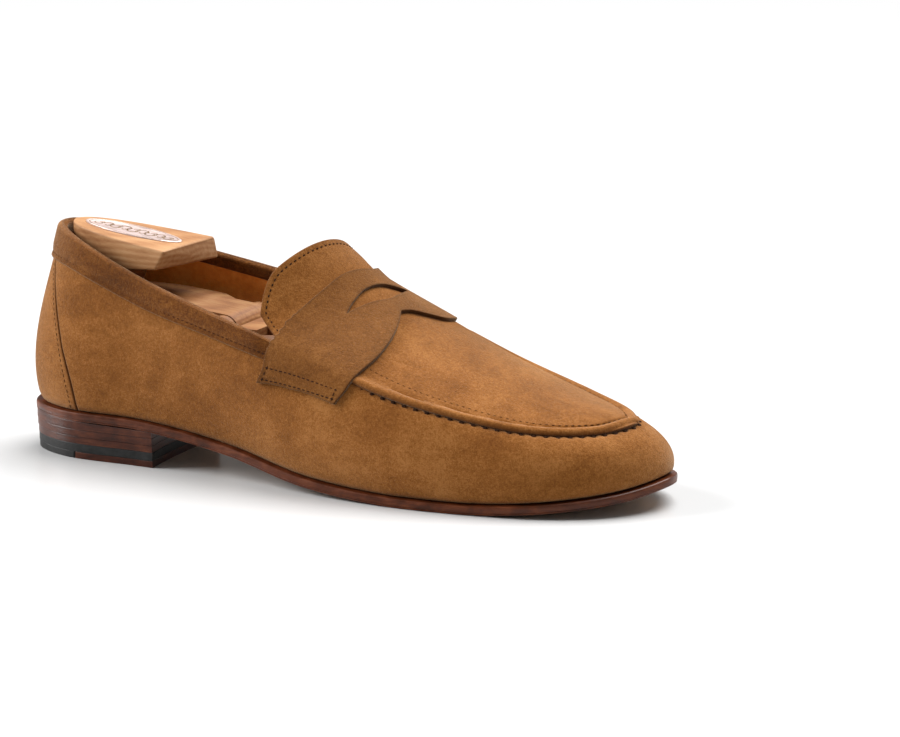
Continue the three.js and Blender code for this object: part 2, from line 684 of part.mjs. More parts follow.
// The beak-shaped block: wider at the top, undercut in front, with a skewed front face.
function makeHeelBlock() {
  const half = range(0, 1, 14).map(t => at(BLOCK_SIDE, t));
  const rings = BLOCK_PLANS.map(({ z, width, frontOuter, frontInner }) => {
    const outer = half.map(p => new THREE.Vector3(p.x, -p.y * width, z));
    const inner = half.slice(1).map(p => new THREE.Vector3(p.x, p.y * width, z));
    const front = half.at(-1).y * 1.07 * width;
    return [...outer, new THREE.Vector3(frontOuter, -front, z), new THREE.Vector3(frontInner, front, z),
      ...inner.reverse()];
  });
  const profile = acrossShoe([[10, PLANK_TOP - 3], [41, PLANK_TOP - 3], [44, 78.5], [49, 82.6], [66, 84],
    [90, 85.6], [90, beakTopAt(90)], [10, beakTopAt(10)]], 40);
  return geometryOf(solid(loft(rings)).intersect(solid(profile)));
}

function makePlaque() {
  const oval = new THREE.Shape().absellipse(0, 0, PLAQUE.halfLength, PLAQUE.halfWidth, 0, Math.PI * 2);
  return new THREE.ExtrudeGeometry(oval, { depth: PLAQUE.thickness, bevelEnabled: false, curveSegments: 18 })
    .rotateY(-Math.atan(BEAK_TOP.slope)).translate(PLAQUE.x, 0, beakTopAt(PLAQUE.x) + 0.1);
}

const HEAD = { x0: 104.4, x1: 115, halfWidth: 18.3, top: 62.5, bottom: 50 };
const SPINE = { halfWidth: 8, end: 199 };
const GUIDES = [[150, 44], [186, 34]];
const SPRING = { x: 168, z: 39, coil: 3.4, wire: 0.5, turns: 4, bore: 4.6 };

function makeFrontPart() {
  const spine = acrossShoe([[HEAD.x0, HEAD.bottom], [HEAD.x0, HEAD.top], [150, 62], [185, 54],
    [SPINE.end, 46], [SPINE.end, 18], [176, 20], [140, 30]], SPINE.halfWidth);
  const head = box(HEAD.x0, HEAD.x1, -HEAD.halfWidth, HEAD.halfWidth, HEAD.bottom, HEAD.top);
  const earInside = HINGE.halfWidth + JOINT_GAP;
  const ears = [-1, 1].flatMap((side) => {
    const [y0, y1] = side < 0 ? [-HEAD.halfWidth, -earInside] : [earInside, HEAD.halfWidth];
    return [barAcross(6.6, HINGE.x, HINGE.z, y0, y1, 24),
      box(HINGE.x, HEAD.x1, y0, y1, HINGE.z - 6.4, HEAD.top)];
  });
  const barrelRoom = barAcross(HINGE.r + 0.5, HINGE.x, HINGE.z, -earInside, earInside, 28);
  const pinHole = barAcross(HINGE.pin + 0.15, HINGE.x, HINGE.z, -30, 30, 24);
  const guideHoles = GUIDES.map(([x, z]) => barAcross(3.2, x, z, -30, 30, 16));
  const bore = barAcross(SPRING.bore, SPRING.x, SPRING.z, -30, 30, 16);
  add('tree_spine', cut(join(spine, head, ...ears), barrelRoom, pinHole, ...guideHoles, bore), cedar);
  const pinReach = HEAD.halfWidth - 0.2;
  add('tree_hinge_pin', barAcross(HINGE.pin, HINGE.x, HINGE.z, -pinReach, pinReach, 24), brass);
  GUIDES.forEach(([x, z], i) => {
    add(`tree_guide_${i + 1}`, barAcross(2.9, x, z, -20, 20, 16), steel);
  });
  add('tree_toe_outer', makeToeHalf(-1), cedar);
  add('tree_toe_inner', makeToeHalf(1), cedar);
  add('tree_spring_outer', makeSpring(-1), steel);
  add('tree_spring_inner', makeSpring(1), steel);
}

const TOE_FACE = 11.6;         // rest position of each half's flat inner face
const SOCK_TOP = SOLE_THICKNESS + GAP + 4.2;

// One half of the split toe block, a clearance inside the lining.
function makeToeHalf(side) {
  const depth = LINING_DEPTH + LINING + TREE_CLEARANCE;
  const underApron = SUEDE + GAP + LINING + TREE_CLEARANCE;
  const rings = range(1.25, 6.2, 18).map((s) => {
    const u = side < 0 ? (s + 3) / 20 : (17 - s) / 20;
    const floor = soleUnderside(u).z + SOCK_TOP + 1;
    const face = THREE.MathUtils.lerp(TOE_FACE, 3.6, THREE.MathUtils.smoothstep(s, 3.75, 3.9));
    const ceiling = s < 2.4 ? 62 : 200;
    const points = [0.1, 0.3, 0.52, 0.74].map(v => wallAt(u, v, depth));
    points.push(wallAt(u, belowTop(u, 6), depth));
    [0.72, 0.5, 0.3].forEach(a => points.push(apronAt(s, side * a * apronReach(s, 6), underApron)));
    points.forEach((p) => {
      p.z = THREE.MathUtils.clamp(p.z, floor, ceiling);
      p.y = side * Math.max(side * p.y, face);
    });
    const top = points.at(-1).clone();
    top.y = side * face;
    const bottom = points[0].clone();
    bottom.y = side * face;
    return [...points, top, bottom];
  });
  const [y0, y1] = side < 0 ? [-24, 0] : [0, 24];
  const guideHoles = GUIDES.map(([x, z]) => barAcross(3.3, x, z, y0, y1, 16));
  return cut(loft(rings), ...guideHoles);
}

// Coil spring that holds a toe half out against the lining.
function makeSpring(side) {
  const from = 0.6;
  const length = TOE_FACE - 0.3 - from;
  const helix = range(0, 1, SPRING.turns * 10).map((t) => {
    const angle = t * SPRING.turns * Math.PI * 2;
    const reach = from + SPRING.wire + t * (length - 2 * SPRING.wire);
    return new THREE.Vector3(SPRING.x + SPRING.coil * Math.cos(angle), side * reach,
      SPRING.z + SPRING.coil * Math.sin(angle));
  });
  const wire = new THREE.Shape().absarc(0, 0, SPRING.wire, 0, Math.PI * 2);
  return new THREE.ExtrudeGeometry(wire, {
    steps: SPRING.turns * 10, curveSegments: 3, bevelEnabled: false,
    extrudePath: new THREE.CatmullRomCurve3(helix),
  });
}

makeSole();
makeHeel();
makeWalls();
makeCollar();
makeApron();
makeStrap();
makeHeelPart();
makeFrontPart();

// The origin lies under the middle of the shoe.
const bounds = new THREE.Box3().setFromObject(shoe);
const middle = bounds.getCenter(new THREE.Vector3());
shoe.position.set(-middle.x, -middle.y, -bounds.min.z);

export default shoe;
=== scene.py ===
"""Looks of the penny loafer and its cedar shoe tree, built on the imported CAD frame.

Lengths are in millimetres until to_row() moves them into the frame's metres. The outlines
are those of the CAD part, laid out from the back of the heel: +X to the toe, +Y to the
inner side, +Z up.
"""

import json
import math

import bmesh
import bpy
import numpy as np
from mathutils import Matrix, Vector, kdtree


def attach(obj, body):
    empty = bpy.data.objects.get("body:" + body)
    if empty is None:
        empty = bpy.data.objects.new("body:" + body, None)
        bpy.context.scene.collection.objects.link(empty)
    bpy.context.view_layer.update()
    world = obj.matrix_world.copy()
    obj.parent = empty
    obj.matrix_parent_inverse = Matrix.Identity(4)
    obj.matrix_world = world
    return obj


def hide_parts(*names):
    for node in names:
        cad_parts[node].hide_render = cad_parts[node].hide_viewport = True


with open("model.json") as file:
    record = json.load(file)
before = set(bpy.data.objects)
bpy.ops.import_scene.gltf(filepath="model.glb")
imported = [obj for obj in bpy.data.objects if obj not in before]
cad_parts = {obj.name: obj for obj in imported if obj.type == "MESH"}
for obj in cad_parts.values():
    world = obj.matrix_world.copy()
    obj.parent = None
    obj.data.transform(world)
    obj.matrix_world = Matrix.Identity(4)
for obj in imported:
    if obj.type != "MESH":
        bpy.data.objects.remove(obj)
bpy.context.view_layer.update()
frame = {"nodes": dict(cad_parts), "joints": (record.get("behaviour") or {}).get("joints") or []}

MM = 0.001
HINGE = next(j for j in frame["joints"] if j["type"] == "hinge")
HINGE_AT = np.array([97.0, 0.0, 60.0])
MOVE = np.array(HINGE["pos_m"]) - HINGE_AT * MM

# ---- driving dimensions, as in the CAD part ----
SOLE_THICKNESS = 4.0
WELT = 2.4
SUEDE = 1.2
STRAP = 1.6
STRAP_LIFT = 0.35
COLLAR_LOW = 0.8
COLLAR_END = 0.243
HEEL_BREAST = 71.0
TREAD_SPLIT = 32.0
HEM_BOW = 0.055                # how much the strap's hems are cut back in the middle, in g
HAND_STITCH = 5.0              # pitch of the stitches that hold the apron
ROLL_STITCH = 4.6              # the fine row's distance from the apron's sewn edge
TONGUE_STITCH = 2.6            # the tongue row's distance from its free edge
COLLAR_STITCH = 2.3            # the collar row's distance from its hem

UP = np.array([0.0, 0.0, 1.0])


# ---- curves ----
def catmull(points, closed=False):
    """A centripetal Catmull-Rom curve through the points, as a function of t from 0 to 1."""
    p = np.asarray(points, float)
    p = p.reshape(len(p), -1)
    if not closed:
        p = np.vstack([2 * p[0] - p[1], p, 2 * p[-1] - p[-2]])
    cells = len(p) if closed else len(p) - 3

    def curve(t):
        t = np.asarray(t, float)
        x = (t % 1) * cells if closed else np.clip(t, 0, 1) * cells
        i = np.minimum(np.floor(x).astype(int), cells - 1)
        f = (x - i)[..., None]
        first = i - 1 if closed else i
        p0, p1, p2, p3 = (p[(first + k) % len(p)] for k in range(4))
        d0, d1, d2 = (np.sqrt(np.linalg.norm(b - a, axis=-1))[..., None]
                      for a, b in ((p0, p1), (p1, p2), (p2, p3)))
        d1 = np.where(d1 < 1e-4, 1.0, d1)
        d0 = np.where(d0 < 1e-4, d1, d0)
        d2 = np.where(d2 < 1e-4, d1, d2)
        t1 = ((p1 - p0) / d0 - (p2 - p0) / (d0 + d1) + (p2 - p1) / d1) * d1
        t2 = ((p2 - p1) / d1 - (p3 - p1) / (d1 + d2) + (p3 - p2) / d2) * d1
        return p1 + t1 * f + (3 * (p2 - p1) - 2 * t1 - t2) * f**2 + (2 * (p1 - p2) + t1 + t2) * f**3

    return curve


SOLE = catmull([
    (0, 0, 17.2), (5, -18.5, 17.1), (25, -31, 16.8), (66, -33, 16.1), (108, -36, 10.8),
    (148, -43, 3), (188, -46.5, 0.1), (222, -44.5, 0), (256, -37, 2.4), (283, -19.5, 6),
    (296.5, 3, 9.6), (289, 25, 7), (262, 40, 3), (226, 46, 0), (186, 40, 0.1),
    (146, 30, 3), (106, 27, 11), (66, 30, 16.1), (25, 29.5, 16.8), (5, 17.5, 17.1),
], closed=True)
TOP = catmull([
    (11, 0, 100), (13.5, -8.5, 99.2), (27, -18, 95.3), (62, -25.5, 82.3), (100, -30.8, 71.2),
    (138, -36.3, 61), (180, -41.3, 47), (215, -38.7, 39.2), (247, -30.3, 34), (271, -15, 33),
    (281, 3, 34.5), (273, 15.5, 35.5), (252, 24.5, 39.8), (218, 29, 48.6), (182, 32, 60),
    (141, 32, 72), (100, 28.7, 80.7), (62, 24.5, 88.3), (27, 17.5, 95.8), (13.5, 8.5, 99.2),
], closed=True)
LOW = catmull([
    (8, 26), (8, 25), (6, 22), (4, 20), (4, 18), (5, 16), (5, 14), (5, 13), (5, 12), (5, 10),
    (3.5, 9), (5, 11), (5, 14), (6, 17), (6, 18), (7, 18), (8, 20), (4, 20), (6, 22), (8, 25),
], closed=True)
HIGH = catmull([
    (4.5, 24), (4.5, 24), (5, 20), (4, 20), (5, 16), (5, 12), (5, 8), (5, 5), (6, 4), (8, 3),
    (8, 3), (8, 4), (7, 7), (7, 9), (6, 12), (4, 14), (4, 16), (4, 20), (5, 20), (4.5, 24),
], closed=True)
APRON_OUTER = catmull([
    (117.3, -28.2, 79.3), (127, -31.8, 68), (138, -36.3, 61), (180, -41.3, 47),
    (215, -38.7, 39.2), (247, -30.3, 34), (271, -15, 33), (281, 3, 34.5),
])
APRON_RIDGE = catmull([
    (138, 2, 100.3), (148, 6, 88.6), (160, 7, 79), (185, 5, 66.6),
    (215, 1, 55.3), (245, -1, 45.2), (268, -1, 39.3), (281, 3, 35),
])
APRON_INNER = catmull([
    (134, 29, 80), (137, 31.5, 76), (141, 32, 72), (182, 32, 60),
    (218, 29, 48.6), (252, 24.5, 39.8), (273, 15.5, 35.5), (281, 3, 34.5),
])
APRON_ROUNDNESS = catmull([0.6, 0.6, 0.65, 0.75, 0.9, 1, 1, 1])
STRAP_REAR = catmull([
    (-1.4, 1.62), (-1.23, 1.75), (-1.03, 1.76), (-0.93, 1.52), (-0.83, 1.29), (-0.5, 1.14), (-0.26, 1.09),
    (0, 1.18), (0.28, 1.38), (0.6, 1.42), (0.85, 1.45), (1, 1.65), (1.15, 1.75), (1.38, 1.62),
])
NOTCH = -0.11                  # where the strap's two front lobes meet
STRAP_FRONT_OUTER = catmull([
    (-1.3, 2.6), (-1.11, 2.74), (-0.94, 2.79), (-0.78, 2.82), (-0.55, 2.79), (-0.33, 2.7), (NOTCH, 2.56),
])
STRAP_FRONT_INNER = catmull([
    (NOTCH, 2.56), (0.01, 2.66), (0.15, 2.88), (0.32, 3.09), (0.55, 3.14), (0.8, 3.08), (1.05, 2.95),
    (1.3, 2.75),
])
SLOT_REAR = catmull([(-0.57, 2.07), (-0.39, 1.91), (-0.2, 1.82), (0.01, 1.88), (0.22, 2.07), (0.46, 2.34)])
SLOT_FRONT = catmull([(-0.57, 2.07), (-0.43, 2.09), (-0.23, 2.16), (-0.05, 2.27), (0.11, 2.3), (0.46, 2.34)])


# ---- surfaces ----
def unit(v):
    return v / np.maximum(np.linalg.norm(v, axis=-1, keepdims=True), 1e-9)


def smoothstep(x, low, high):
    t = np.clip((x - low) / (high - low), 0, 1)
    return t * t * (3 - 2 * t)


def sole_edge(u):
    """The sole's lower edge, kept on or above the ground."""
    p = SOLE(u).copy()
    p[..., 2] = np.maximum(p[..., 2], 0)
    return p


def outward(u):
    """The level direction away from the shoe at its edge."""
    t = sole_edge(u + 1e-3) - sole_edge(u - 1e-3)
    return unit(np.stack([t[..., 1], -t[..., 0], np.zeros(t.shape[:-1])], -1))


def wall(u, v):
    """The side of the upper: u goes round the shoe, v from the sole (0) to the topline (1)."""
    u, v = np.broadcast_arrays(np.asarray(u, float), np.asarray(v, float))
    n = outward(u)
    foot = sole_edge(u) - WELT * n + SOLE_THICKNESS * UP
    top, low, high = TOP(u), LOW(u), HIGH(u)
    p1 = foot + n * low[..., :1] + UP * low[..., 1:]
    p2 = top + n * high[..., :1] - UP * high[..., 1:]
    v = v[..., None]
    w = 1 - v
    return foot * w**3 + 3 * p1 * v * w**2 + 3 * p2 * v**2 * w + top * v**3


def apron(s, a):
    """The top: s from the tongue's top (0) to the toe (7), a from the outer to the inner edge."""
    s, a = np.broadcast_arrays(np.asarray(s, float), np.asarray(a, float))
    free = (s < 2)[..., None]
    left = np.where(free, APRON_OUTER(s / 7), TOP((s + 3) / 20))
    right = np.where(free, APRON_INNER(s / 7), TOP((17 - s) / 20))
    ridge = APRON_RIDGE(s / 7)
    middle = (left + right) / 2
    crown = np.maximum(0, 1 - a * a)[..., None] ** APRON_ROUNDNESS(s / 7)
    return middle + (right - left) * a[..., None] / 2 + (ridge - middle) * crown


def skin(s, g):
    """The whole front of the upper: g from -2, the outer sole edge, over the apron to 2."""
    s, g = np.broadcast_arrays(np.asarray(s, float), np.asarray(g, float))
    outer = wall((s + 3) / 20, np.clip(2 + g, 0, 1))
    inner = wall((17 - s) / 20, np.clip(2 - g, 0, 1))
    middle = apron(s, np.clip(g, -1, 1))
    return np.where((g < -1)[..., None], outer, np.where((g > 1)[..., None], inner, middle))


def strap_seat(s, g):
    """skin() with the seam's crease smoothed out, as the strap spans it."""
    steps = np.arange(-5, 6)
    weights = np.exp(-(steps / 2.4) ** 2)
    return sum(w * skin(s, g + k * 0.042) for k, w in zip(steps, weights / weights.sum()))


def normal(surface, u, v, u_range=(-9, 9), v_range=(-9, 9)):
    """Normals of a surface, from differences that stay within its ranges."""
    e = 1e-3
    du = surface(np.minimum(u + e, u_range[1]), v) - surface(np.maximum(u - e, u_range[0]), v)
    dv = surface(u, np.minimum(v + e, v_range[1])) - surface(u, np.maximum(v - e, v_range[0]))
    return unit(np.cross(du, dv))


def wall_normal(u, v):
    return normal(wall, u, v, v_range=(0, 1))


def apron_normal(s, a):
    return normal(apron, s, a, (0, 7), (-0.999, 0.999))


def wall_at(u, v, height):
    """Points at a height above the wall."""
    u, v = np.broadcast_arrays(np.asarray(u, float), np.asarray(v, float))
    return wall(u, v) + wall_normal(u, v) * np.asarray(height)[..., None]


def tongue_top(a):
    """Where the tongue begins: its two corners are rounded."""
    corner = np.clip((np.abs(a) - 0.78) / 0.22, 0, 1)
    return 0.6 * (1 - np.sqrt(1 - corner**2))


def back_seam(v):
    """u of the back piece's side seam, which leans to the back as it rises."""
    return 0.11 - 0.075 * v * v


def graded(start, end, cells, fine):
    """Even steps from start to end, with four more within `fine` of each end."""
    near = np.array([0.06, 0.2, 0.42, 0.7, 1.0]) * fine
    middle = np.linspace(start, end, cells + 1)
    middle = middle[(middle > start + 1.5 * fine) & (middle < end - 1.5 * fine)]
    return np.concatenate([[start], start + near, middle, (end - near)[::-1], [end]])


# ---- meshes ----
def to_row(points):
    """From the part's millimetres to the frame's metres."""
    return np.asarray(points) * MM + MOVE


def new_object(name, points, faces, material, smooth_angle=40.0, attributes=None):
    """A mesh object; attributes holds one number per point for its material."""
    mesh = bpy.data.meshes.new(name)
    mesh.from_pydata(to_row(points).tolist(), [], [tuple(map(int, f)) for f in faces])
    for key, values in (attributes or {}).items():
        layer = mesh.attributes.new(key, "FLOAT", "POINT")
        layer.data.foreach_set("value", np.asarray(values, np.float32))
    mesh.validate()
    mesh.update()
    obj = bpy.data.objects.new(name, mesh)
    bpy.context.scene.collection.objects.link(obj)
    mesh.materials.append(material)
    mesh.shade_smooth()
    mesh.set_sharp_from_angle(angle=math.radians(smooth_angle))
    return obj


def face_out(obj):
    """Turns every face outwards."""
    bm = bmesh.new()
    bm.from_mesh(obj.data)
    bmesh.ops.recalc_face_normals(bm, faces=bm.faces)
    bm.to_mesh(obj.data)
    bm.free()
    return obj


def place(obj, body, slot, *nodes):
    """Puts a piece on its body, in place of its CAD nodes. The slot argument is not used."""
    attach(obj, body)
    if nodes:
        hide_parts(*nodes)
    return obj


def tree_of(points):
    tree = kdtree.KDTree(len(points))
    for i, p in enumerate(points):
        tree.insert(p, i)
    tree.balance()
    return tree


def nearest_distance(points, targets):
    tree = tree_of(targets)
    return np.array([tree.find(p)[2] for p in points])


def push_out(points, surface, gap):
    """How far a grid of points has to rise to lie `gap` above a surface, blurred over the grid."""
    n = unit(np.cross(np.gradient(surface, axis=0), np.gradient(surface, axis=1))).reshape(-1, 3)
    cloud = surface.reshape(-1, 3)
    tree = tree_of(cloud)
    nearest = [tree.find(q)[1] for q in points.reshape(-1, 3)]
    height = np.sum((points.reshape(-1, 3) - cloud[nearest]) * n[nearest], axis=1)
    push = np.maximum(0, gap - height).reshape(points.shape[:2])
    for reduce in (np.max, np.mean, np.mean, np.mean):
        padded = np.pad(push, 2, "edge")
        push = reduce([padded[i:i + push.shape[0], j:j + push.shape[1]]
                       for i in range(5) for j in range(5)], axis=0)
    return push


def along(points, step=None, count=None):
    """Points every `step` along a polyline, or `count` of them. Its first three columns are places."""
    points = np.asarray(points, float)
    lengths = np.linalg.norm(np.diff(points[:, :3], axis=0), axis=1)
    walked = np.concatenate([[0], np.cumsum(lengths)])
    count = count or max(2, int(round(walked[-1] / step)) + 1)
    at = np.linspace(0, walked[-1], count)
    return np.stack([np.interp(at, walked, points[:, k]) for k in range(points.shape[1])], 1)


def thick_sheet(name, points, normals, material, thickness, rounding=0.5, lift=0.0,
                relief=None, skip=None):
    """A sheet of leather from a grid of points: its edges are cut square and rounded on top.

    relief(distance to the edge, grid row, grid column) adds to the outer side's height."""
    rows, columns = points.shape[:2]
    flat = points.reshape(-1, 3)
    keys = {}
    ids = np.empty(len(flat), int)
    for i, p in enumerate(np.round(flat, 3)):
        ids[i] = keys.setdefault(tuple(p), i)
    ids = ids.reshape(rows, columns)
    faces = []
    for i in range(rows - 1):
        for j in range(columns - 1):
            if skip is not None and skip(i, j):
                continue
            corners = (ids[i, j], ids[i + 1, j], ids[i + 1, j + 1], ids[i, j + 1])
            face = [c for k, c in enumerate(corners) if c != corners[k - 1]]
            if len(face) > 2:
                faces.append(face)
    directed = {(f[k], f[(k + 1) % len(f)]) for f in faces for k in range(len(f))}
    border = [(a, b) for a, b in directed if (b, a) not in directed]
    samples = []
    for a, b in border:
        cuts = max(1, int(np.linalg.norm(flat[a] - flat[b]) / 0.3))
        samples.extend(flat[a] + (flat[b] - flat[a]) * k / cuts for k in range(cuts))
    used = np.unique([c for f in faces for c in f])
    renumber = np.full(len(flat), -1)
    renumber[used] = np.arange(len(used))
    base, n = flat[used], normals.reshape(-1, 3)[used]
    distance = nearest_distance(base, samples)
    near = np.minimum(distance, rounding)
    height = thickness - rounding + np.sqrt(np.maximum(0, rounding**2 - (rounding - near) ** 2))
    if relief is not None:
        height = height + relief(distance, used // columns, used % columns)
    outer = base + n * (lift + height)[:, None]
    inner = base + n * lift
    count = len(used)
    shell = [[renumber[c] for c in f] for f in faces]
    shell += [[count + renumber[c] for c in reversed(f)] for f in faces]
    shell += [[renumber[b], renumber[a], count + renumber[a], count + renumber[b]] for a, b in border]
    rim = np.concatenate([np.exp(-distance / 0.5), np.ones(count)])
    return new_object(name, np.vstack([outer, inner]), shell, material, attributes={"rim": rim})


def bands(rings, count, closed=True):
    """Faces between rings of `count` points each, one ring to the next."""
    faces = []
    for first in range(0, (rings - 1) * count, count):
        for j in range(count if closed else count - 1):
            k = (j + 1) % count
            faces.append([first + j, first + k, first + count + k, first + count + j])
    return faces


def loft(name, rings, material, closed=True, caps=True, smooth_angle=40.0, attributes=None):
    """Rings of points joined one to the next, with flat ends."""
    rings = np.asarray(rings)
    m, n = rings.shape[:2]
    faces = bands(m, n, closed)
    if caps:
        faces.append(list(range(n))[::-1])
        faces.append([(m - 1) * n + j for j in range(n)])
    obj = new_object(name, rings.reshape(-1, 3), faces, material, smooth_angle, attributes)
    return face_out(obj)


def sew(name, path, normals, thread, pitch, length, width, height, slant=0.0, slot="suede"):
    """A row of threads along a path, each a rounded bead sunk into the leather."""
    path, normals = np.asarray(path, float), np.asarray(normals, float)
    spaced = along(np.hstack([path, normals]), pitch)
    p, n = spaced[:, :3], unit(spaced[:, 3:])
    t = unit(np.gradient(p, axis=0))
    side = np.cross(n, t)
    t = unit(t + side * slant)
    side = unit(np.cross(n, t))
    sink = 0.3
    sides = 6
    stations = np.array([-1, -0.9, -0.6, 0, 0.6, 0.9, 1])
    girth = np.sqrt(np.maximum(1 - stations**4, 0.02))
    dip = stations**2
    turn = np.linspace(0, 2 * np.pi, sides, endpoint=False)
    verts, faces = [], []
    for k in range(len(p)):
        first = len(verts)
        for x, g, d in zip(stations, girth, dip):
            for angle in turn:
                verts.append(p[k] + t[k] * x * length / 2 + side[k] * math.cos(angle) * g * width / 2
                             + n[k] * (math.sin(angle) * g * height / 2 - d * height * sink))
        for i in range(len(stations) - 1):
            for j in range(sides):
                a, b = first + i * sides + j, first + i * sides + (j + 1) % sides
                faces.append([a, b, b + sides, a + sides])
        last = first + (len(stations) - 1) * sides
        faces.append([first + j for j in range(sides)][::-1])
        faces.append([last + j for j in range(sides)])
    place(face_out(new_object(name, verts, faces, thread, 60)), "shoe", slot)


# ---- materials ----
class Shader:
    """A material's nodes, made by short calls. Lengths in textures are millimetres."""

    def __init__(self, name):
        self.material = bpy.data.materials.new(name)
        self.material.use_nodes = True
        self.tree = self.material.node_tree
        self.surface = self.tree.nodes["Principled BSDF"]
        position = self.tree.nodes.new("ShaderNodeTexCoord").outputs["Object"]
        self.mm = self.vector("SCALE", position, scale=1000)

    def node(self, kind, inputs=None, **settings):
        made = self.tree.nodes.new("ShaderNode" + kind)
        for key, value in settings.items():
            setattr(made, key, value)
        for key, value in (inputs or {}).items():
            self.put(made.inputs[key], value)
        return made

    def put(self, socket, value):
        if isinstance(value, bpy.types.NodeSocket):
            self.tree.links.new(value, socket)
        else:
            socket.default_value = value

    def vector(self, operation, a, b=None, scale=None):
        made = self.node("VectorMath", {0: a}, operation=operation)
        if b is not None:
            self.put(made.inputs[1], b)
        if scale is not None:
            self.put(made.inputs["Scale"], scale)
        return made.outputs[0]

    def math(self, operation, a, b):
        return self.node("Math", {0: a, 1: b}, operation=operation).outputs[0]

    def blend(self, *parts):
        """The sum of values, each times its share."""
        shares = [self.math("MULTIPLY", value, share) for value, share in parts]
        total = shares[0]
        for share in shares[1:]:
            total = self.math("ADD", total, share)
        return total

    def stretched(self, x, y, z):
        return self.vector("MULTIPLY", self.mm, (x, y, z))

    def noise(self, size, detail=3.0, rough=0.5, distortion=0.0, where=None):
        made = self.node("TexNoise", {"Vector": where or self.mm, "Scale": 1 / size, "Detail": detail,
                                      "Roughness": rough, "Distortion": distortion})
        return made.outputs["Fac"]

    def ramp(self, value, *stops):
        made = self.node("ValToRGB", {"Fac": value})
        elements = made.color_ramp.elements
        while len(elements) < len(stops):
            elements.new(0.5)
        for element, (position, color) in zip(elements, stops):
            element.position = position
            element.color = (*color, 1)
        return made.outputs["Color"]

    def levels(self, value, low, high, to_low=0.0, to_high=1.0):
        made = self.node("MapRange", {"Value": value, "From Min": low, "From Max": high,
                                      "To Min": to_low, "To Max": to_high})
        return made.outputs["Result"]

    def mix(self, factor, a, b):
        made = self.node("Mix", data_type="RGBA")
        self.put(made.inputs["Factor"], factor)
        for socket, value in (("A_Color", a), ("B_Color", b)):
            found = next(i for i in made.inputs if i.identifier == socket)
            self.put(found, value if isinstance(value, bpy.types.NodeSocket) else (*value, 1))
        return next(o for o in made.outputs if o.identifier == "Result_Color")

    def attribute(self, name):
        return self.node("Attribute", attribute_name=name).outputs["Fac"]

    def bump(self, height, depth_mm, strength=1.0, base=None):
        made = self.node("Bump", {"Height": height, "Distance": depth_mm * MM, "Strength": strength})
        if base is not None:
            self.put(made.inputs["Normal"], base)
        return made.outputs["Normal"]

    def finish(self, **inputs):
        for key, value in inputs.items():
            socket = self.surface.inputs[key.replace("_", " ")]
            if isinstance(value, tuple) and len(value) == 3:
                value = (*value, 1)
            self.put(socket, value)
        return self.material


def make_suede(name, dark, base, light, edge):
    """Napped suede: brushed patches, short nap, a soft sheen, and cut edges of their own colour."""
    s = Shader(name)
    patches = s.noise(42, 3, 0.5, 0.8)
    strokes = s.noise(1, 2, 0.5, 1.0, where=s.stretched(1 / 14, 1 / 9, 1 / 7))
    clumps = s.noise(1.3, 3, 0.65)
    nap = s.noise(0.5, 2, 0.8)
    tone = s.blend((patches, 0.26), (strokes, 0.14), (clumps, 0.24), (nap, 0.36))
    color = s.ramp(tone, (0.39, dark), (0.5, base), (0.61, light))
    rim = s.math("MULTIPLY", s.attribute("rim"), 0.85)
    color = s.mix(rim, color, edge)
    normal_in = s.bump(clumps, 0.2)
    normal_in = s.bump(s.noise(0.45, 2, 0.8), 0.34, base=normal_in)
    return s.finish(Base_Color=color, Roughness=0.95, Specular_IOR_Level=0.08, Normal=normal_in,
                    Sheen_Weight=0.34, Sheen_Roughness=0.42, Sheen_Tint=(1.0, 0.8, 0.55))


def make_leather(name, dark, base, light, roughness=0.45, grain=0.9, depth=0.05, coat=0.0):
    """Smooth dressed leather with a fine grain."""
    s = Shader(name)
    tone = s.blend((s.noise(26, 4, 0.6), 0.7), (s.noise(2.2, 3), 0.3))
    color = s.ramp(tone, (0.38, dark), (0.5, base), (0.62, light))
    cells = s.node("TexVoronoi", {"Vector": s.mm, "Scale": 1 / grain}, feature="DISTANCE_TO_EDGE")
    pores = s.levels(cells.outputs["Distance"], 0.0, 0.25)
    rough = s.levels(s.noise(7, 3), 0.3, 0.7, roughness - 0.08, roughness + 0.1)
    return s.finish(Base_Color=color, Roughness=rough, Normal=s.bump(pores, depth),
                    Coat_Weight=coat, Coat_Roughness=0.25)


def make_edge_leather(name, dark, base, light, layers=1.1, roughness=0.36):
    """The burnished edge of stacked leather: faint fibres along the edge, waxed over."""
    s = Shader(name)
    fibres = s.noise(1, 3, 0.6, where=s.stretched(1 / 26, 1 / 26, layers))
    stains = s.noise(9, 5, 0.65, 0.4, where=s.stretched(1, 1, 1.8))
    tone = s.blend((fibres, 0.3), (stains, 0.7))
    color = s.ramp(tone, (0.36, dark), (0.5, base), (0.66, light))
    rough = s.levels(stains, 0.3, 0.7, roughness - 0.08, roughness + 0.14)
    return s.finish(Base_Color=color, Roughness=rough, Normal=s.bump(fibres, 0.04), Specular_IOR_Level=0.22,
                    Coat_Weight=0.06, Coat_Roughness=0.2)


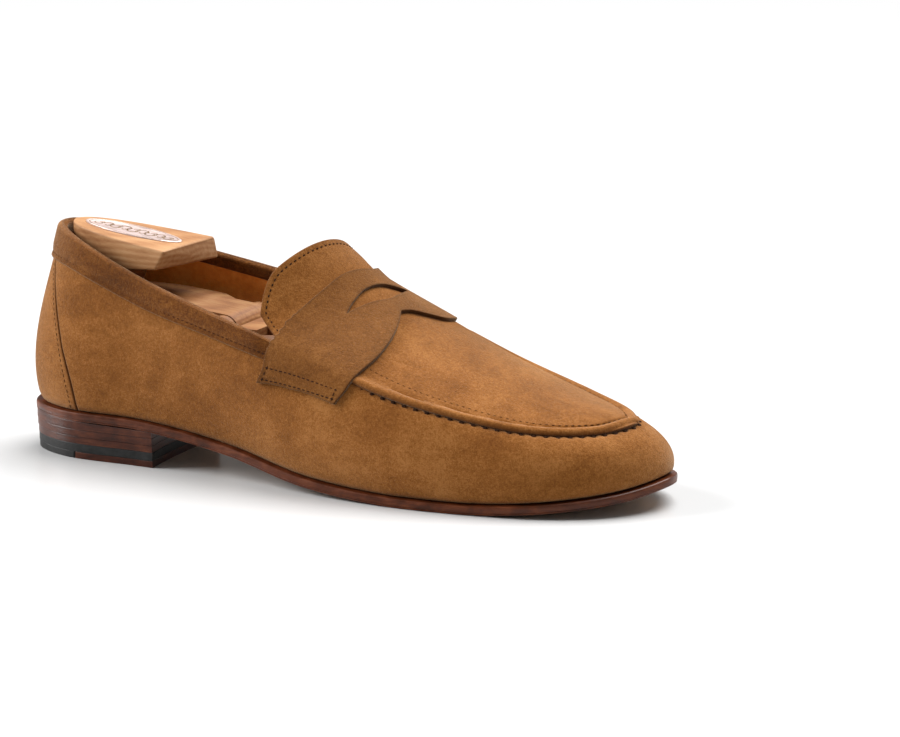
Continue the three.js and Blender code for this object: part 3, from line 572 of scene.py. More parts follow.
def make_wood(name, pale, base, dark):
    """Sanded cedar cut lengthways: soft growth rings, fine pores and a little figure."""
    s = Shader(name)
    drift = s.node("TexNoise", {"Vector": s.stretched(1 / 60, 1 / 30, 1 / 26), "Scale": 1.0, "Detail": 1})
    push = s.vector("SCALE", drift.outputs["Color"], scale=1.5)
    warped = s.vector("ADD", s.stretched(0.01, 0.11, 0.16), push)
    rings = s.node("TexWave", {"Vector": warped, "Scale": 0.8, "Distortion": 0.6, "Detail": 1},
                   wave_type="RINGS", rings_direction="X").outputs["Fac"]
    streaks = s.noise(1, 3, 0.55, where=s.stretched(1 / 45, 0.5, 0.5))
    pores = s.noise(1, 3, 0.7, where=s.stretched(1 / 7, 2.6, 2.6))
    patches = s.noise(26, 3, 0.5, 0.5)
    tone = s.blend((rings, 0.12), (streaks, 0.38), (pores, 0.2), (patches, 0.3))
    color = s.ramp(tone, (0.36, pale), (0.5, base), (0.66, dark))
    return s.finish(Base_Color=color, Roughness=s.levels(pores, 0.3, 0.7, 0.5, 0.66),
                    Normal=s.bump(pores, 0.05), Specular_IOR_Level=0.3)


def make_rubber(name):
    s = Shader(name)
    tone = s.noise(3, 4, 0.7)
    color = s.ramp(tone, (0.35, (0.006, 0.006, 0.006)), (0.65, (0.018, 0.018, 0.017)))
    return s.finish(Base_Color=color, Roughness=s.levels(tone, 0.3, 0.7, 0.42, 0.62),
                    Normal=s.bump(s.noise(0.8, 3, 0.7), 0.05), Specular_IOR_Level=0.25)


def make_metal(name, dark, light, roughness, scratches=2.0):
    s = Shader(name)
    lines = s.noise(1, 3, 0.6, where=s.stretched(1 / 9, scratches, scratches))
    color = s.ramp(lines, (0.35, dark), (0.65, light))
    rough = s.levels(lines, 0.3, 0.7, roughness - 0.07, roughness + 0.1)
    return s.finish(Base_Color=color, Metallic=1.0, Roughness=rough, Normal=s.bump(lines, 0.012))


def make_grains(name, dark, base, light, size, roughness=0.85):
    """Granular or fibrous board, such as cork or insole board."""
    s = Shader(name)
    cells = s.node("TexVoronoi", {"Vector": s.mm, "Scale": 1 / size})
    tone = s.blend((cells.outputs["Distance"], 0.6), (s.noise(size * 0.5, 3), 0.4))
    color = s.ramp(tone, (0.3, dark), (0.5, base), (0.75, light))
    return s.finish(Base_Color=color, Roughness=roughness, Normal=s.bump(tone, 0.2))


def make_thread(name, dark, light):
    s = Shader(name)
    twist = s.noise(1, 2, 0.5, where=s.stretched(2.2, 2.2, 2.2))
    return s.finish(Base_Color=s.ramp(twist, (0.35, dark), (0.65, light)), Roughness=0.9,
                    Specular_IOR_Level=0.1, Normal=s.bump(twist, 0.08))


TAN = make_suede(
    "suede_tan", (0.118, 0.037, 0.005), (0.208, 0.073, 0.013), (0.31, 0.128, 0.034), (0.084, 0.027, 0.007))
STRAP_TAN = make_suede(
    "suede_tan_strap", (0.086, 0.028, 0.0035), (0.142, 0.049, 0.008), (0.225, 0.09, 0.021),
    (0.043, 0.015, 0.004))
COLLAR_BROWN = make_suede(
    "suede_brown", (0.052, 0.014, 0.0014), (0.111, 0.033, 0.004), (0.205, 0.074, 0.013),
    (0.125, 0.044, 0.008))
LINING = make_leather("lining_leather", (0.6, 0.19, 0.02), (0.72, 0.26, 0.038), (0.8, 0.33, 0.065), 0.42)
SOCK = make_leather("sock_leather", (0.42, 0.22, 0.09), (0.55, 0.32, 0.15), (0.66, 0.42, 0.22), 0.5)
SOLE_EDGE = make_edge_leather("sole_edge", (0.04, 0.009, 0.002), (0.08, 0.018, 0.0045), (0.14, 0.037, 0.011))
SOLE_TREAD = make_leather(
    "sole_tread", (0.24, 0.12, 0.055), (0.36, 0.2, 0.1), (0.46, 0.28, 0.15), 0.4, 1.3, 0.06)
HEEL_STACK = make_edge_leather(
    "heel_stack", (0.028, 0.006, 0.002), (0.052, 0.011, 0.0034), (0.095, 0.024, 0.0072), 0.9)
RUBBER = make_rubber("black_rubber")
CEDAR = make_wood("cedar", (0.40, 0.22, 0.1), (0.325, 0.155, 0.06), (0.225, 0.09, 0.028))
CEDAR_PALE = make_wood("cedar_pale", (0.30, 0.152, 0.058), (0.235, 0.099, 0.032), (0.15, 0.053, 0.014))
STEEL = make_metal("steel", (0.42, 0.42, 0.43), (0.62, 0.62, 0.63), 0.3)
BRASS = make_metal("brass", (0.5, 0.33, 0.12), (0.68, 0.49, 0.2), 0.3)
PLAQUE = make_metal("plaque", (0.49, 0.382, 0.355), (0.571, 0.462, 0.429), 0.5, 1.2)
CORK = make_grains("cork", (0.22, 0.12, 0.05), (0.42, 0.27, 0.13), (0.55, 0.38, 0.2), 1.6)
BOARD = make_grains("insole_board", (0.4, 0.3, 0.19), (0.55, 0.43, 0.3), (0.66, 0.55, 0.42), 0.7)
STIFFENER = make_grains("stiffener", (0.55, 0.5, 0.42), (0.68, 0.63, 0.55), (0.78, 0.74, 0.68), 0.5, 0.7)
DARK_THREAD = make_thread("thread_dark", (0.012, 0.0045, 0.002), (0.04, 0.015, 0.006))
BROWN_THREAD = make_thread("thread_brown", (0.03, 0.011, 0.003), (0.08, 0.03, 0.009))
ENGRAVED = make_metal("plaque_engraving", (0.10, 0.055, 0.03), (0.32, 0.2, 0.09), 0.5)


# ---- sole and heel ----
def sole_line(u, inset, height):
    return sole_edge(u) - outward(u) * inset + UP * height


def make_sole():
    turns = np.linspace(0, 1, 420, endpoint=False)
    profile = [  # inset and height from the sole's lower edge, round the edge from top to bottom
        (9.0, 4.0), (4.0, 4.0), (2.9, 3.85), (2.0, 3.75), (1.2, 3.9), (0.55, 3.85), (0.15, 3.5),
        (0.0, 2.9), (0.0, 2.0), (0.05, 1.15), (0.28, 0.98), (0.3, 0.78), (0.1, 0.6), (0.15, 0.3),
        (0.5, 0.06), (1.1, 0.0), (4.4, 0.0), (4.75, 0.16), (5.1, 0.0), (9.0, 0.0),
    ]
    rings = [sole_line(turns, inset, height) for inset, height in profile]
    count = len(turns)
    faces = bands(len(rings), count)
    half = count // 2
    for ring in (0, len(rings) - 1):
        first = ring * count
        for j in range(half):
            quad = [first + j, first + j + 1, first + (count - j - 1) % count, first + (count - j) % count]
            faces.append(list(dict.fromkeys(quad)))
    edge = face_out(new_object("sole", np.concatenate(rings), faces, SOLE_EDGE, 32))
    edge.data.materials.append(SOLE_TREAD)
    tread_from = 15 * count    # the profile's 15th point is where the tread begins
    for polygon in edge.data.polygons:
        if min(polygon.vertices) >= tread_from:
            polygon.material_index = 1
    place(edge, "shoe", "sole_leather", "outsole")


def heel_outline(inset, front=HEEL_BREAST):
    u = np.linspace(-0.155, 0.155, 400)
    side = sole_edge(-u) - outward(-u) * inset
    side = along(side[side[:, 0] < front - 1], count=120)
    first, last = side[0].copy(), side[-1].copy()
    first[0] = last[0] = front
    y = np.linspace(last[1], first[1], 16)
    bow = 1.6 * (1 - (2 * (y - y[0]) / (y[-1] - y[0]) - 1) ** 2)
    breast = np.stack([front - bow, y, np.zeros(16)], 1)
    return np.vstack([side, breast])


def heel_layer(name, inset, z0, z1, material, top=None, soften=0.1):
    """One lift of the heel, its edge slightly proud of the joints above and below."""
    rings = []
    for fraction, extra in ((0, soften), (0.06, 0.0), (0.94, 0.0), (1, soften)):
        ring = heel_outline(inset + extra, HEEL_BREAST - extra)
        high = z1 if top is None else top(ring)
        ring[:, 2] = z0 + (high - z0) * fraction
        rings.append(ring)
    return loft(name, rings, material, smooth_angle=20)


def cut_at(obj, x, keep_front):
    """Keeps the part of a piece in front of x, or behind it, with a flat cut."""
    bm = bmesh.new()
    bm.from_mesh(obj.data)
    where = Vector(to_row([x, 0, 0]))
    geom = bm.verts[:] + bm.edges[:] + bm.faces[:]
    cut = bmesh.ops.bisect_plane(bm, geom=geom, plane_co=where, plane_no=(1, 0, 0),
                                 clear_inner=keep_front, clear_outer=not keep_front)
    edges = [e for e in cut["geom_cut"] if isinstance(e, bmesh.types.BMEdge)]
    bmesh.ops.edgenet_fill(bm, edges=edges)
    bmesh.ops.recalc_face_normals(bm, faces=bm.faces)
    bm.to_mesh(obj.data)
    bm.free()
    return obj


def under_sole(ring):
    """Height of the sole's underside above each point of a ring."""
    x = ring[:, 0]
    return 17.25 - 0.4 * smoothstep(x, 5, 30) - 0.9 * smoothstep(x, 25, 75)


def make_heel():
    tip = (1.2, 0.0, 3.0)
    front = cut_at(heel_layer("heel_tip_leather", *tip, HEEL_STACK), TREAD_SPLIT, True)
    place(front, "shoe", "stack_leather", "top_piece_leather")
    rear = cut_at(heel_layer("heel_tip_rubber", *tip, RUBBER), TREAD_SPLIT - 0.3, False)
    place(rear, "shoe", "black_rubber", "top_piece_rubber")
    layers = (    # inset from the sole's edge, bottom and top
        ("heel_band", 1.0, 3.1, 6.7, RUBBER, "black_rubber", "heel_rubber_lift"),
        ("heel_lift_low", 0.8, 6.8, 9.9, HEEL_STACK, "stack_leather", "heel_lift_1"),
        ("heel_lift_mid", 0.5, 10.0, 13.1, HEEL_STACK, "stack_leather", "heel_lift_2"),
    )
    for name, inset, bottom, top, look, slot, node in layers:
        place(heel_layer(name, inset, bottom, top, look), "shoe", slot, node)
    seat = heel_layer("heel_lift_top", 0.3, 13.2, 17.0, HEEL_STACK, top=under_sole)
    place(seat, "shoe", "stack_leather", "heel_seat_lift")


# ---- upper ----
def wall_grid(columns, v):
    """columns: functions of v giving u, one per column."""
    u = np.array([column(v) for column in columns])
    return u, np.broadcast_to(v, u.shape)


def crease(distance, depth, width):
    return -depth * np.exp(-(distance / width) ** 2)


def seam_walk(u):
    """Millimetres walked along the apron seam, from the outer strap end."""
    around = np.linspace(0.25, 0.75, 1500)
    steps = np.linalg.norm(np.diff(TOP(around), axis=0), axis=1)
    return np.interp(u, around, np.concatenate([[0], np.cumsum(steps)]))


def make_walls():
    v = graded(0.0, 1.0, 60, 0.03)
    seam = 0.0004    # half the gap beside the back piece, in u
    t = graded(0.0, 1.0, 420, 0.004)
    columns = [lambda x, k=k: back_seam(x) + seam + (1 - 2 * (back_seam(x) + seam)) * k for k in t]
    u, vv = wall_grid(columns, v)
    fold = smoothstep(u, 0.29, 0.31) * (1 - smoothstep(u, 0.675, 0.69))
    gather = np.cos(2 * np.pi * seam_walk(u[:, -1]) / HAND_STITCH)[:, None] * fold

    def relief(distance, row, column):
        to_top = (1 - v[column]) * 30
        tuck = (-0.75 * fold[row, column] - 0.42 * gather[row, column]) * np.exp(-(to_top / 1.7) ** 2)
        return tuck + crease(v[column] * 40, 0.7, 1.1)

    side = thick_sheet("upper_sides", wall(u, vv), wall_normal(u, vv), TAN, SUEDE, 0.5, -SUEDE, relief)
    place(side, "shoe", "suede", "upper_wall")

    columns = [lambda x, k=k: k * (back_seam(x) - seam) for k in graded(-1.0, 1.0, 90, 0.03)]
    u, vv = wall_grid(columns, v)
    back = thick_sheet("upper_back", wall(u, vv), wall_normal(u, vv), TAN, SUEDE, 0.5, -SUEDE,
                       lambda distance, row, column: crease(v[column] * 40, 0.7, 1.1))
    place(back, "shoe", "suede", "back_piece")

    rows = np.linspace(0.03, 0.77, 60)
    for side, sign in (("outer", 1), ("inner", -1)):
        at = sign * (back_seam(rows) - 0.0045)
        sew(f"back_seam_stitches_{side}", wall_at(at, rows, 0.02), wall_normal(at, rows),
            DARK_THREAD, 2.3, 1.5, 0.42, 0.3)


def make_collar():
    u = np.linspace(-COLLAR_END, COLLAR_END, 330)
    v = np.concatenate([COLLAR_LOW + np.array([0, 0.002, 0.008, 0.016, 0.03, 0.045, 0.06, 0.075]),
                        np.linspace(COLLAR_LOW + 0.09, 0.975, 14)])
    mm_per_v = np.linalg.norm(wall(u, 1.0) - wall(u, 0.9), axis=1)[:, None] / 0.1
    uu, vv = np.meshgrid(u, v, indexing="ij")
    up_hem = (vv - COLLAR_LOW) * mm_per_v
    groove = 0.42 * np.exp(-((up_hem - COLLAR_STITCH) / 0.55) ** 2)
    height = 0.25 + np.sqrt(np.clip(up_hem / 0.5, 0, 1)) - groove
    height += 0.35 * smoothstep(up_hem, 2.4, 6) * (1 - 0.6 * smoothstep(vv, 0.9, 1))
    pressed = smoothstep(np.abs(u), 0.229, 0.24)[:, None]
    outer = wall_at(uu, vv, height * (1 - 0.75 * pressed))
    n = wall_normal(u, np.ones_like(u))
    down = unit(wall(u, 0.95) - wall(u, 1.0))
    rim = wall(u, 1.0)
    skin_side, lining_side = 1.3, -3.1
    middle, reach = (skin_side + lining_side) / 2, (skin_side - lining_side) / 2
    arc = [rim + n * (middle + reach * math.cos(x)) + down * (0.1 + 1.5 * (1 - math.sin(x)))
           for x in np.linspace(0.25, math.pi - 0.1, 11)]
    below = [rim + n * lining_side + down * d for d in (2.4, 3.4, 4.6, 5.6, 6.1)]
    hem = [rim + n * (lining_side + 0.35) + down * 6.45, rim + n * (lining_side + 1.0) + down * 6.5]
    rings = np.concatenate([outer.transpose(1, 0, 2), np.array(arc), np.array(below), np.array(hem)])
    inside = np.zeros((len(arc) + len(below), len(u)))
    edge = np.concatenate([np.exp(-up_hem.T / 0.35), inside, np.ones((2, len(u)))])
    collar = loft("collar", rings, COLLAR_BROWN, closed=False, caps=False, smooth_angle=70,
                  attributes={"rim": edge.reshape(-1)})
    place(collar, "shoe", "collar_suede", "collar_binding")

    at = COLLAR_LOW + COLLAR_STITCH / mm_per_v[:, 0]
    sew("collar_stitches", wall_at(u, at, 0.92), wall_normal(u, at),
        DARK_THREAD, 2.4, 1.6, 0.42, 0.3, slot="collar_suede")


def seam_line(step=0.4):
    """The apron's edge from the outer strap end round the toe to the inner one."""
    s = np.linspace(2.2, 7, 400)
    return along(np.vstack([APRON_OUTER(s / 7), APRON_INNER(s[::-1] / 7)]), step)


def seam_inset(distance):
    """Points and normals on the apron, a distance inside its sewn edge."""
    s = np.linspace(2.85, 6.75, 260)
    left, right = APRON_OUTER(s / 7), APRON_INNER(s / 7)
    half = np.linalg.norm(right - left, axis=1) / 2
    keep = half > distance * 1.05
    s, a = s[keep], 1 - distance / half[keep]
    s_all = np.concatenate([s, s[::-1]])
    a_all = np.concatenate([-a, a[::-1]])
    for _ in range(30):
        p = apron(s_all, a_all)
        d = nearest_distance(p, seam_line())
        s_all = np.clip(s_all - np.maximum(0, distance - d) * 0.006, 0, 7)
    n = apron_normal(s_all, a_all)
    return np.hstack([apron(s_all, a_all) - n * 0.1, n])


def tongue_inset(distance):
    """Points and normals on the tongue, a distance inside its free edge."""
    s = np.linspace(2.0, 0.6, 90)
    a = np.concatenate([-np.sin(np.linspace(1, 0.6, 60) * np.pi / 2), np.linspace(-0.8, 0.8, 60),
                        np.sin(np.linspace(0.6, 1, 60) * np.pi / 2)])
    border = np.concatenate([apron(s, -1.0), apron(tongue_top(a), a), apron(s[::-1], 1.0)])
    found = []
    for angle in np.radians(np.linspace(-90, 90, 160)):
        r = np.linspace(0.3, 1.8, 500)
        s, a = 1.7 - 1.7 * r * math.cos(angle), r * math.sin(angle)
        on = (s > tongue_top(a)) & (np.abs(a) < 0.995)
        s, a = s[on], a[on]
        near = nearest_distance(apron(s, a), border) < distance
        first = int(np.argmax(near))
        found.append((s[first], a[first]))
    s, a = np.array(found).T
    return apron(s, a), apron_normal(s, a)


def make_apron():
    start = graded(0.0, 1.0, 34, 0.03)[:-6]
    rest = np.concatenate([np.linspace(1.0, 6.9, 190), 7 - 0.1 * np.array([0.8, 0.6, 0.4, 0.2, 0.08, 0.0])])
    a = graded(-1.0, 1.0, 96, 0.035)
    corner = tongue_top(a)
    ss = np.vstack([corner + (1 - corner) * t for t in start] + [np.full(len(a), t) for t in rest])
    aa = np.broadcast_to(a, ss.shape)
    points = apron(ss, aa)
    n = apron_normal(ss, aa)
    seam = seam_line()
    to_seam = nearest_distance(points.reshape(-1, 3), seam).reshape(ss.shape)
    sewn = smoothstep(ss - 0.45 * (aa > 0), 2.62, 2.86)
    tongue = 1 - smoothstep(ss, 1.5, 2.0)

    def relief(distance, row, column):
        d = to_seam[row, column]
        roll = 1.5 * np.exp(-np.abs((d - 2.0) / 1.75) ** 3)
        ridge = roll - 0.45 * np.exp(-((d - ROLL_STITCH) / 0.5) ** 2)
        groove = -0.25 * np.exp(-((distance - TONGUE_STITCH) / 0.5) ** 2)
        return ridge * sewn[row, column] + groove * tongue[row, column]

    sheet = thick_sheet("apron_and_tongue", points, n, TAN, SUEDE, 0.6, -SUEDE + 0.15, relief)
    place(sheet, "shoe", "suede", "apron_with_tongue", "apron_seam_roll")

    u = np.linspace(0.283, 0.692, 500)
    below = 1 - 1.0 / (np.linalg.norm(wall(u, 1.0) - wall(u, 0.9), axis=1) / 0.1)
    sew("apron_hand_stitches", wall_at(u, below, -0.45), wall_normal(u, below),
        DARK_THREAD, HAND_STITCH, 2.3, 1.5, 1.0, 0.2)
    inside = seam_inset(ROLL_STITCH)
    lift = inside[:, :3] + 0.2 * inside[:, 3:]
    sew("apron_fine_stitches", lift, inside[:, 3:], BROWN_THREAD, 2.7, 1.6, 0.4, 0.5)
    path, n = tongue_inset(TONGUE_STITCH)
    sew("tongue_stitches", path + n * 0.05, n, DARK_THREAD, 2.5, 1.3, 0.6, 0.5)


def make_strap():
    def reach(curve, g):
        t = np.linspace(0, 1, 600)
        p = curve(t)
        return np.interp(g, p[:, 0], p[:, 1])

    def front(g):
        return np.where(g < NOTCH, reach(STRAP_FRONT_OUTER, g), reach(STRAP_FRONT_INNER, g))

    slot_from, slot_to = -0.57, 0.46
    tip_from, tip_to = 2.07, 2.34
    near = np.array([0.002, 0.006, 0.012, 0.02])
    g = np.unique(np.round(np.concatenate([
        -1.39 + near, np.linspace(-1.39, slot_from, 46), slot_from + near, slot_to - near, [NOTCH],
        np.linspace(slot_from, slot_to, 56), np.linspace(slot_to, 1.38, 52), 1.38 - near]), 6))

    def tip_line(x):
        tip = np.where(x <= slot_from, tip_from, tip_to)
        away = np.clip(np.where(x <= slot_from, slot_from - x, x - slot_to) / 0.4, 0, 1)
        seat = reach(STRAP_REAR, x) * 0.53 + front(x) * 0.47
        return tip + (seat - tip) * away

    inside = (g > slot_from) & (g < slot_to)
    slot_rear = np.where(inside, reach(SLOT_REAR, g), tip_line(g))
    slot_front = np.where(inside, reach(SLOT_FRONT, g), tip_line(g))
    q = graded(0.0, 1.0, 22, 0.035)
    rear = reach(STRAP_REAR, g)[:, None] * (1 - q) + slot_rear[:, None] * q
    g_front = np.clip(g, -1.3, 1.3)
    fore = slot_front[:, None] * (1 - q) + front(g_front)[:, None] * q
    s = np.hstack([rear, fore])
    gg = np.hstack([np.repeat(g[:, None], len(q), 1), g[:, None] * (1 - q) + g_front[:, None] * q])
    across = (s - s[:, :1]) / (s[:, -1:] - s[:, :1])
    gg = gg - np.sign(gg) * HEM_BOW * np.sin(np.pi * across) * smoothstep(np.abs(gg), 1.15, 1.38)
    points = strap_seat(s, gg)
    n = normal(strap_seat, s, gg, v_range=(-1.99, 1.99))
    middle = len(q) - 1
    under = skin(np.linspace(1.15, 3.15, 170)[:, None], np.linspace(-1.46, 1.46, 440)[None, :])
    lifted = STRAP_LIFT + push_out(points + n * STRAP_LIFT, under, STRAP_LIFT)
    base = points + n * lifted[..., None]

    def relief(distance, row, column):
        low = smoothstep(-gg[row, column], 1.1, 1.2)
        return -0.2 * np.exp(-((distance - 2.0) / 0.5) ** 2) * low

    strap = thick_sheet("saddle", base, n, STRAP_TAN, STRAP, 0.4, 0.0, relief,
                        skip=lambda i, j: j == middle and (inside[i] or inside[i + 1]))
    place(strap, "shoe", "suede", "saddle_strap")

    def top_of(s_at, g_at):
        up = normal(strap_seat, s_at, g_at, v_range=(-1.99, 1.99))
        return strap_seat(s_at, g_at) + up * (STRAP_LIFT + STRAP + 0.15), up

    for side, sign, low in (("outer", -1, 1.345), ("inner", 1, 1.33)):
        t = np.linspace(0, 1, 80)
        s_low = 1.72 + (2.58 - 1.72) * t
        s_high = 1.80 + (2.63 - 1.80) * t
        g_low = sign * (low - 0.085 * t)
        g_high = sign * (low - 0.1 - 0.085 * t)
        sides = [(s_low, g_low), (s_high, g_high)]
        for end in (0, -1):
            sides.append((np.linspace(s_low[end], s_high[end], 20), np.linspace(g_low[end], g_high[end], 20)))
        for k, (s_at, g_at) in enumerate(sides):
            p, up = top_of(s_at, g_at)
            sew(f"saddle_stitches_{side}_{k}", p, up, DARK_THREAD, 2.3, 1.6, 0.5, 0.35)


# ---- lining ----
def make_linings():
    u = np.linspace(-0.31, 0.31, 360)
    v = np.concatenate([np.linspace(0.03, 0.75, 40), np.linspace(0.77, 0.985, 16)])
    uu, vv = np.meshgrid(u, v, indexing="ij")
    depth = 3.3 - 1.55 * smoothstep(vv, 0.6, 0.75)
    n = wall_normal(uu, vv)
    quarter = thick_sheet("quarter_lining_skin", wall_at(uu, vv, -depth - 0.8), n, LINING, 0.8, 0.3)
    place(quarter, "shoe", "lining_leather", "quarter_lining")
    a = graded(-0.93, 0.93, 50, 0.03)
    top = tongue_top(a * 1.06) + 0.04
    ss = np.array([top + (2.15 - top) * t for t in graded(0.0, 1.0, 50, 0.014)])
    aa = np.broadcast_to(a, ss.shape)
    n = apron_normal(ss, aa)
    tongue = thick_sheet("tongue_lining_skin", apron(ss, aa) - n * 1.2, -n, LINING, 0.8, 0.4)
    place(tongue, "shoe", "lining_leather", "tongue_lining")


# ---- shoe tree ----
BEAK_TOP_AT = (17.5, 100.3)
BEAK_SLOPE = -0.1315
PLANK_TOP = 72.0


def beak_top(x):
    return BEAK_TOP_AT[1] + (x - BEAK_TOP_AT[0]) * BEAK_SLOPE


def rounded_ring(half_low, half_high, low, high, radius, steps=5):
    """A cross-section in Y and Z with sloping sides and rounded corners."""
    corners = [(-half_low, low), (half_low, low), (half_high, high), (-half_high, high)]
    ring = []
    for k, corner in enumerate(corners):
        here = np.array(corner)
        before = np.array(corners[k - 1]) - here
        after = np.array(corners[(k + 1) % 4]) - here
        reach = min(radius, np.linalg.norm(before) * 0.45, np.linalg.norm(after) * 0.45)
        start = here + before / max(np.linalg.norm(before), 1e-6) * reach
        end = here + after / max(np.linalg.norm(after), 1e-6) * reach
        for t in np.linspace(0, 1, steps):
            ring.append(start * (1 - t) ** 2 + 2 * here * t * (1 - t) + end * t**2)
    return np.array(ring)


def make_heel_block():
    """A beak-shaped block, wider at the top, undercut in front and cut off by a skewed face."""
    side = catmull([(15.8, 0), (18, 5.5), (22, 9.2), (28, 12.4), (40, 16.3), (55, 19.3), (71.2, 21.4)])
    outline = side(np.linspace(0, 1, 400))
    under = np.array([(15.8, 72.4), (42, 72), (44, 78.5), (49, 82.6), (66, 84), (71.2, 84.4)])
    x = np.concatenate([15.8 + 26 * np.linspace(0, 1, 40) ** 1.8, np.linspace(42.2, 70.4, 60),
                        [70.8, 71.1, 71.2]])
    tight = np.concatenate([np.zeros(len(x) - 3), [0.1, 0.35, 0.75]])
    rings = []
    for at, inset in zip(x, tight):
        half = np.interp(at, outline[:, 0], outline[:, 1])
        low = np.interp(at, under[:, 0], under[:, 1]) + inset
        high = beak_top(at) + 0.05 - inset

        def width(z):
            return max(0.15, half * (0.78 + 0.32 * (z - PLANK_TOP) / 32) - inset)

        section = rounded_ring(width(low), width(high), low, high, 1.0)
        across, up = section[:, 0] / 20, (section[:, 1] - 84) / 10
        skew = 0.2 + 5.5 * across + 1.3 * up - 5 * across * up
        rings.append(np.column_stack([at + skew * smoothstep(at, 44, 71.2), section]))
    block = loft("tree_block", rings, CEDAR, smooth_angle=35)
    place(block, "tree_heel", "cedar", "tree_heel_block")


def arc_band(centre, radius, start, end, width, steps=14):
    """A flat curved stroke in plan, thicker in its middle."""
    strokes = []
    for t in np.linspace(0, 1, steps):
        angle = start + (end - start) * t
        across = width * (0.35 + 0.65 * math.sin(math.pi * t))
        for r in (radius - across / 2, radius + across / 2):
            strokes.append((centre[0] + r * math.cos(angle), centre[1] + r * math.sin(angle)))
    faces = [[2 * i, 2 * i + 1, 2 * i + 3, 2 * i + 2] for i in range(steps - 1)]
    return strokes, faces


def make_plaque():
    """An oval plate with a plain scroll ornament and a dark line inside its rim."""
    centre_x, half_x, half_y = 45.0, 23.5, 8.8
    turns = np.linspace(0, 2 * np.pi, 140, endpoint=False)
    rings = []
    profile = ((1.0, 0.1), (1.0, 0.5), (0.985, 0.68), (0.955, 0.7), (0.94, 0.58), (0.5, 0.58), (0.02, 0.58))
    for scale, height in profile:
        x = centre_x + half_x * scale * np.cos(turns)
        rings.append(np.stack([x, half_y * scale * np.sin(turns), beak_top(x) + height], 1))
    plate = loft("tree_plaque_plate", rings, PLAQUE, smooth_angle=40)
    place(plate, "tree_heel", "plaque_metal", "tree_plaque")

    marks, faces = [], []

    def draw(stroke, cells):
        faces.extend([len(marks) + c for c in cell] for cell in cells)
        marks.extend((x, y, beak_top(x) + 0.62) for x, y in stroke)

    rim = []
    for t in turns:
        for inset in (0, 0.3):
            x, y = half_x * 0.93 - inset, half_y * 0.93 - inset
            rim.append((centre_x + x * math.cos(t), y * math.sin(t)))
    count = len(turns)
    draw(rim, [[2 * i, 2 * i + 1, 2 * ((i + 1) % count) + 1, 2 * ((i + 1) % count)] for i in range(count)])
    pitch = 4.3
    for k in range(-4, 5):
        x = centre_x + pitch * k
        size = 4.6 * math.sqrt(1 - (pitch * k / 24) ** 2)
        flip = 1 if k % 2 else -1
        draw(*arc_band((x, flip * 0.22 * size), 0.52 * size, -1.3 * flip, 3.6 * flip, 0.75))
        draw(*arc_band((x + 0.9, -flip * 0.34 * size), 0.3 * size, 2.4 * flip, 7.6 * flip, 0.5))
        draw(*arc_band((x + 2.1, flip * 0.1 * size), 0.2 * size, 0.0, 5.2, 0.35))
    place(face_out(new_object("tree_plaque_marks", marks, faces, ENGRAVED)), "tree_heel", "plaque_metal")


def dress_cad():
    """CAD pieces whose shape stands get their materials, and the wooden ones soft edges."""
    carved = ("tree_plank", "tree_spine", "tree_toe_outer", "tree_toe_inner")
    looks = {
        CORK: ["cork_filler"],
        BOARD: ["insole_board"],
        SOCK: ["sock_liner"],
        LINING: ["vamp_lining", "apron_lining"],
        STIFFENER: ["heel_counter", "side_stiffener_outer", "side_stiffener_inner", "toe_puff"],
        CEDAR: ["tree_dowel_1", "tree_dowel_2"],
        CEDAR_PALE: carved,
        BRASS: ["tree_hinge_pin"],
        STEEL: ["shank", "tree_guide_1", "tree_guide_2", "tree_spring_outer", "tree_spring_inner",
                *(f"heel_nail_{k}" for k in range(1, 5))],
    }
    for look, names in looks.items():
        for name in names:
            mesh = frame["nodes"][name].data
            mesh.materials.clear()
            mesh.materials.append(look)
            mesh.set_sharp_from_angle(angle=math.radians(35))
    for name in carved:
        bevel = frame["nodes"][name].modifiers.new("soft_edges", "BEVEL")
        bevel.width = 0.6 * MM
        bevel.segments = 2
        bevel.limit_method = "ANGLE"
        bevel.angle_limit = math.radians(35)


make_sole()
make_heel()
make_walls()
make_collar()
make_apron()
make_strap()
make_linings()
make_heel_block()
make_plaque()
dress_cad()


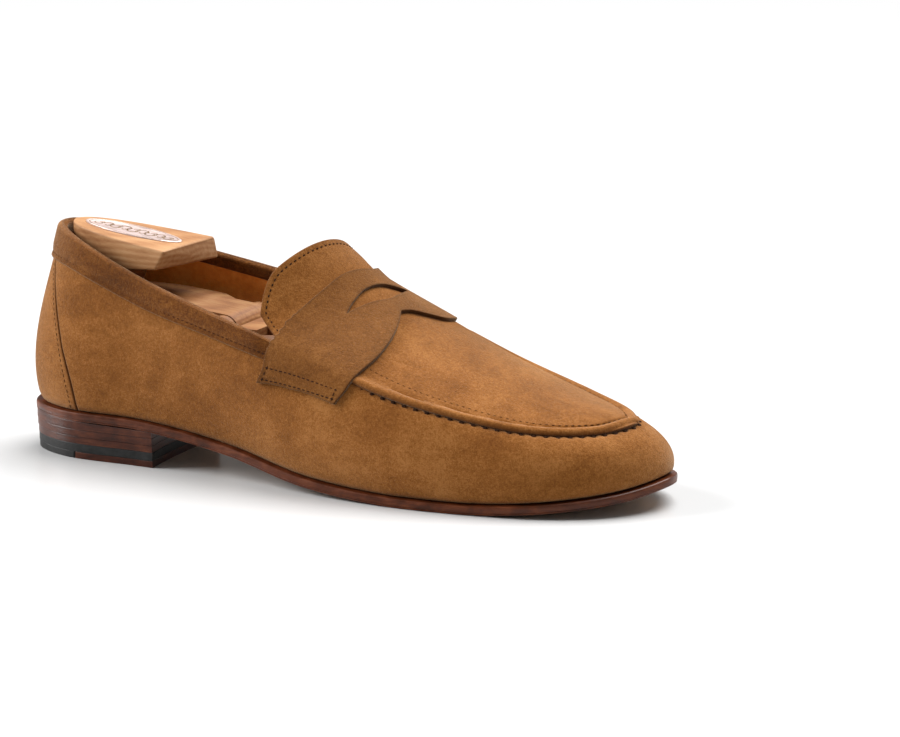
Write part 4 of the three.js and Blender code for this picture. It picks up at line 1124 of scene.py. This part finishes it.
# ---- camera and light ----
CAMERA_AT = (732.5, -1195.6, 345.9)
CAMERA_TURN = (24.12, 12.72, 0.42)    # azimuth, elevation and roll, degrees
LENS = 127.3


def aim_camera():
    """Looks from the outer side, a little towards the toe, from the photograph's height."""
    azimuth, elevation, roll = (math.radians(x) for x in CAMERA_TURN)
    back = Vector((math.sin(azimuth) * math.cos(elevation), -math.cos(azimuth) * math.cos(elevation),
                   math.sin(elevation)))
    level = Vector((math.cos(azimuth), math.sin(azimuth), 0))
    right = level * math.cos(roll) + back.cross(level) * math.sin(roll)
    axes = Matrix((right, back.cross(right), back)).transposed()
    data = bpy.data.cameras.new("camera")
    data.lens = LENS
    data.clip_start, data.clip_end = 0.05, 50
    camera = bpy.data.objects.new("camera", data)
    camera.matrix_world = Matrix.Translation(to_row(CAMERA_AT)) @ axes.to_4x4()
    bpy.context.scene.collection.objects.link(camera)
    bpy.context.scene.camera = camera


def add_sun(name, energy, angle, towards):
    """A large soft light, as seen from a softbox: `towards` is the way that its light travels."""
    sun = bpy.data.lights.new(name, "SUN")
    sun.energy = energy
    sun.angle = math.radians(angle)
    lamp = bpy.data.objects.new(name, sun)
    lamp.rotation_euler = Vector(towards).to_track_quat("-Z", "Y").to_euler()
    bpy.context.scene.collection.objects.link(lamp)


def make_stage():
    bpy.ops.mesh.primitive_plane_add(size=14, location=(0, 0, 0))
    floor = bpy.context.object
    floor.name = "floor"
    s = Shader("floor_white")
    pale = s.finish(Base_Color=(0.54, 0.54, 0.54), Roughness=0.2, Specular_IOR_Level=0.4)
    floor.data.materials.append(pale)
    add_sun("overhead", 6.4, 50, (-0.22, -0.45, -1))
    add_sun("side", 4.9, 36, (1.0, 0.32, -0.6))
    world = bpy.data.worlds.new("studio")
    bpy.context.scene.world = world
    world.use_nodes = True
    sky = world.node_tree.nodes["Background"].inputs
    sky["Color"].default_value = (1, 1, 1, 1)
    sky["Strength"].default_value = 0.28
    bpy.context.scene.view_settings.view_transform = "Standard"


aim_camera()
make_stage()
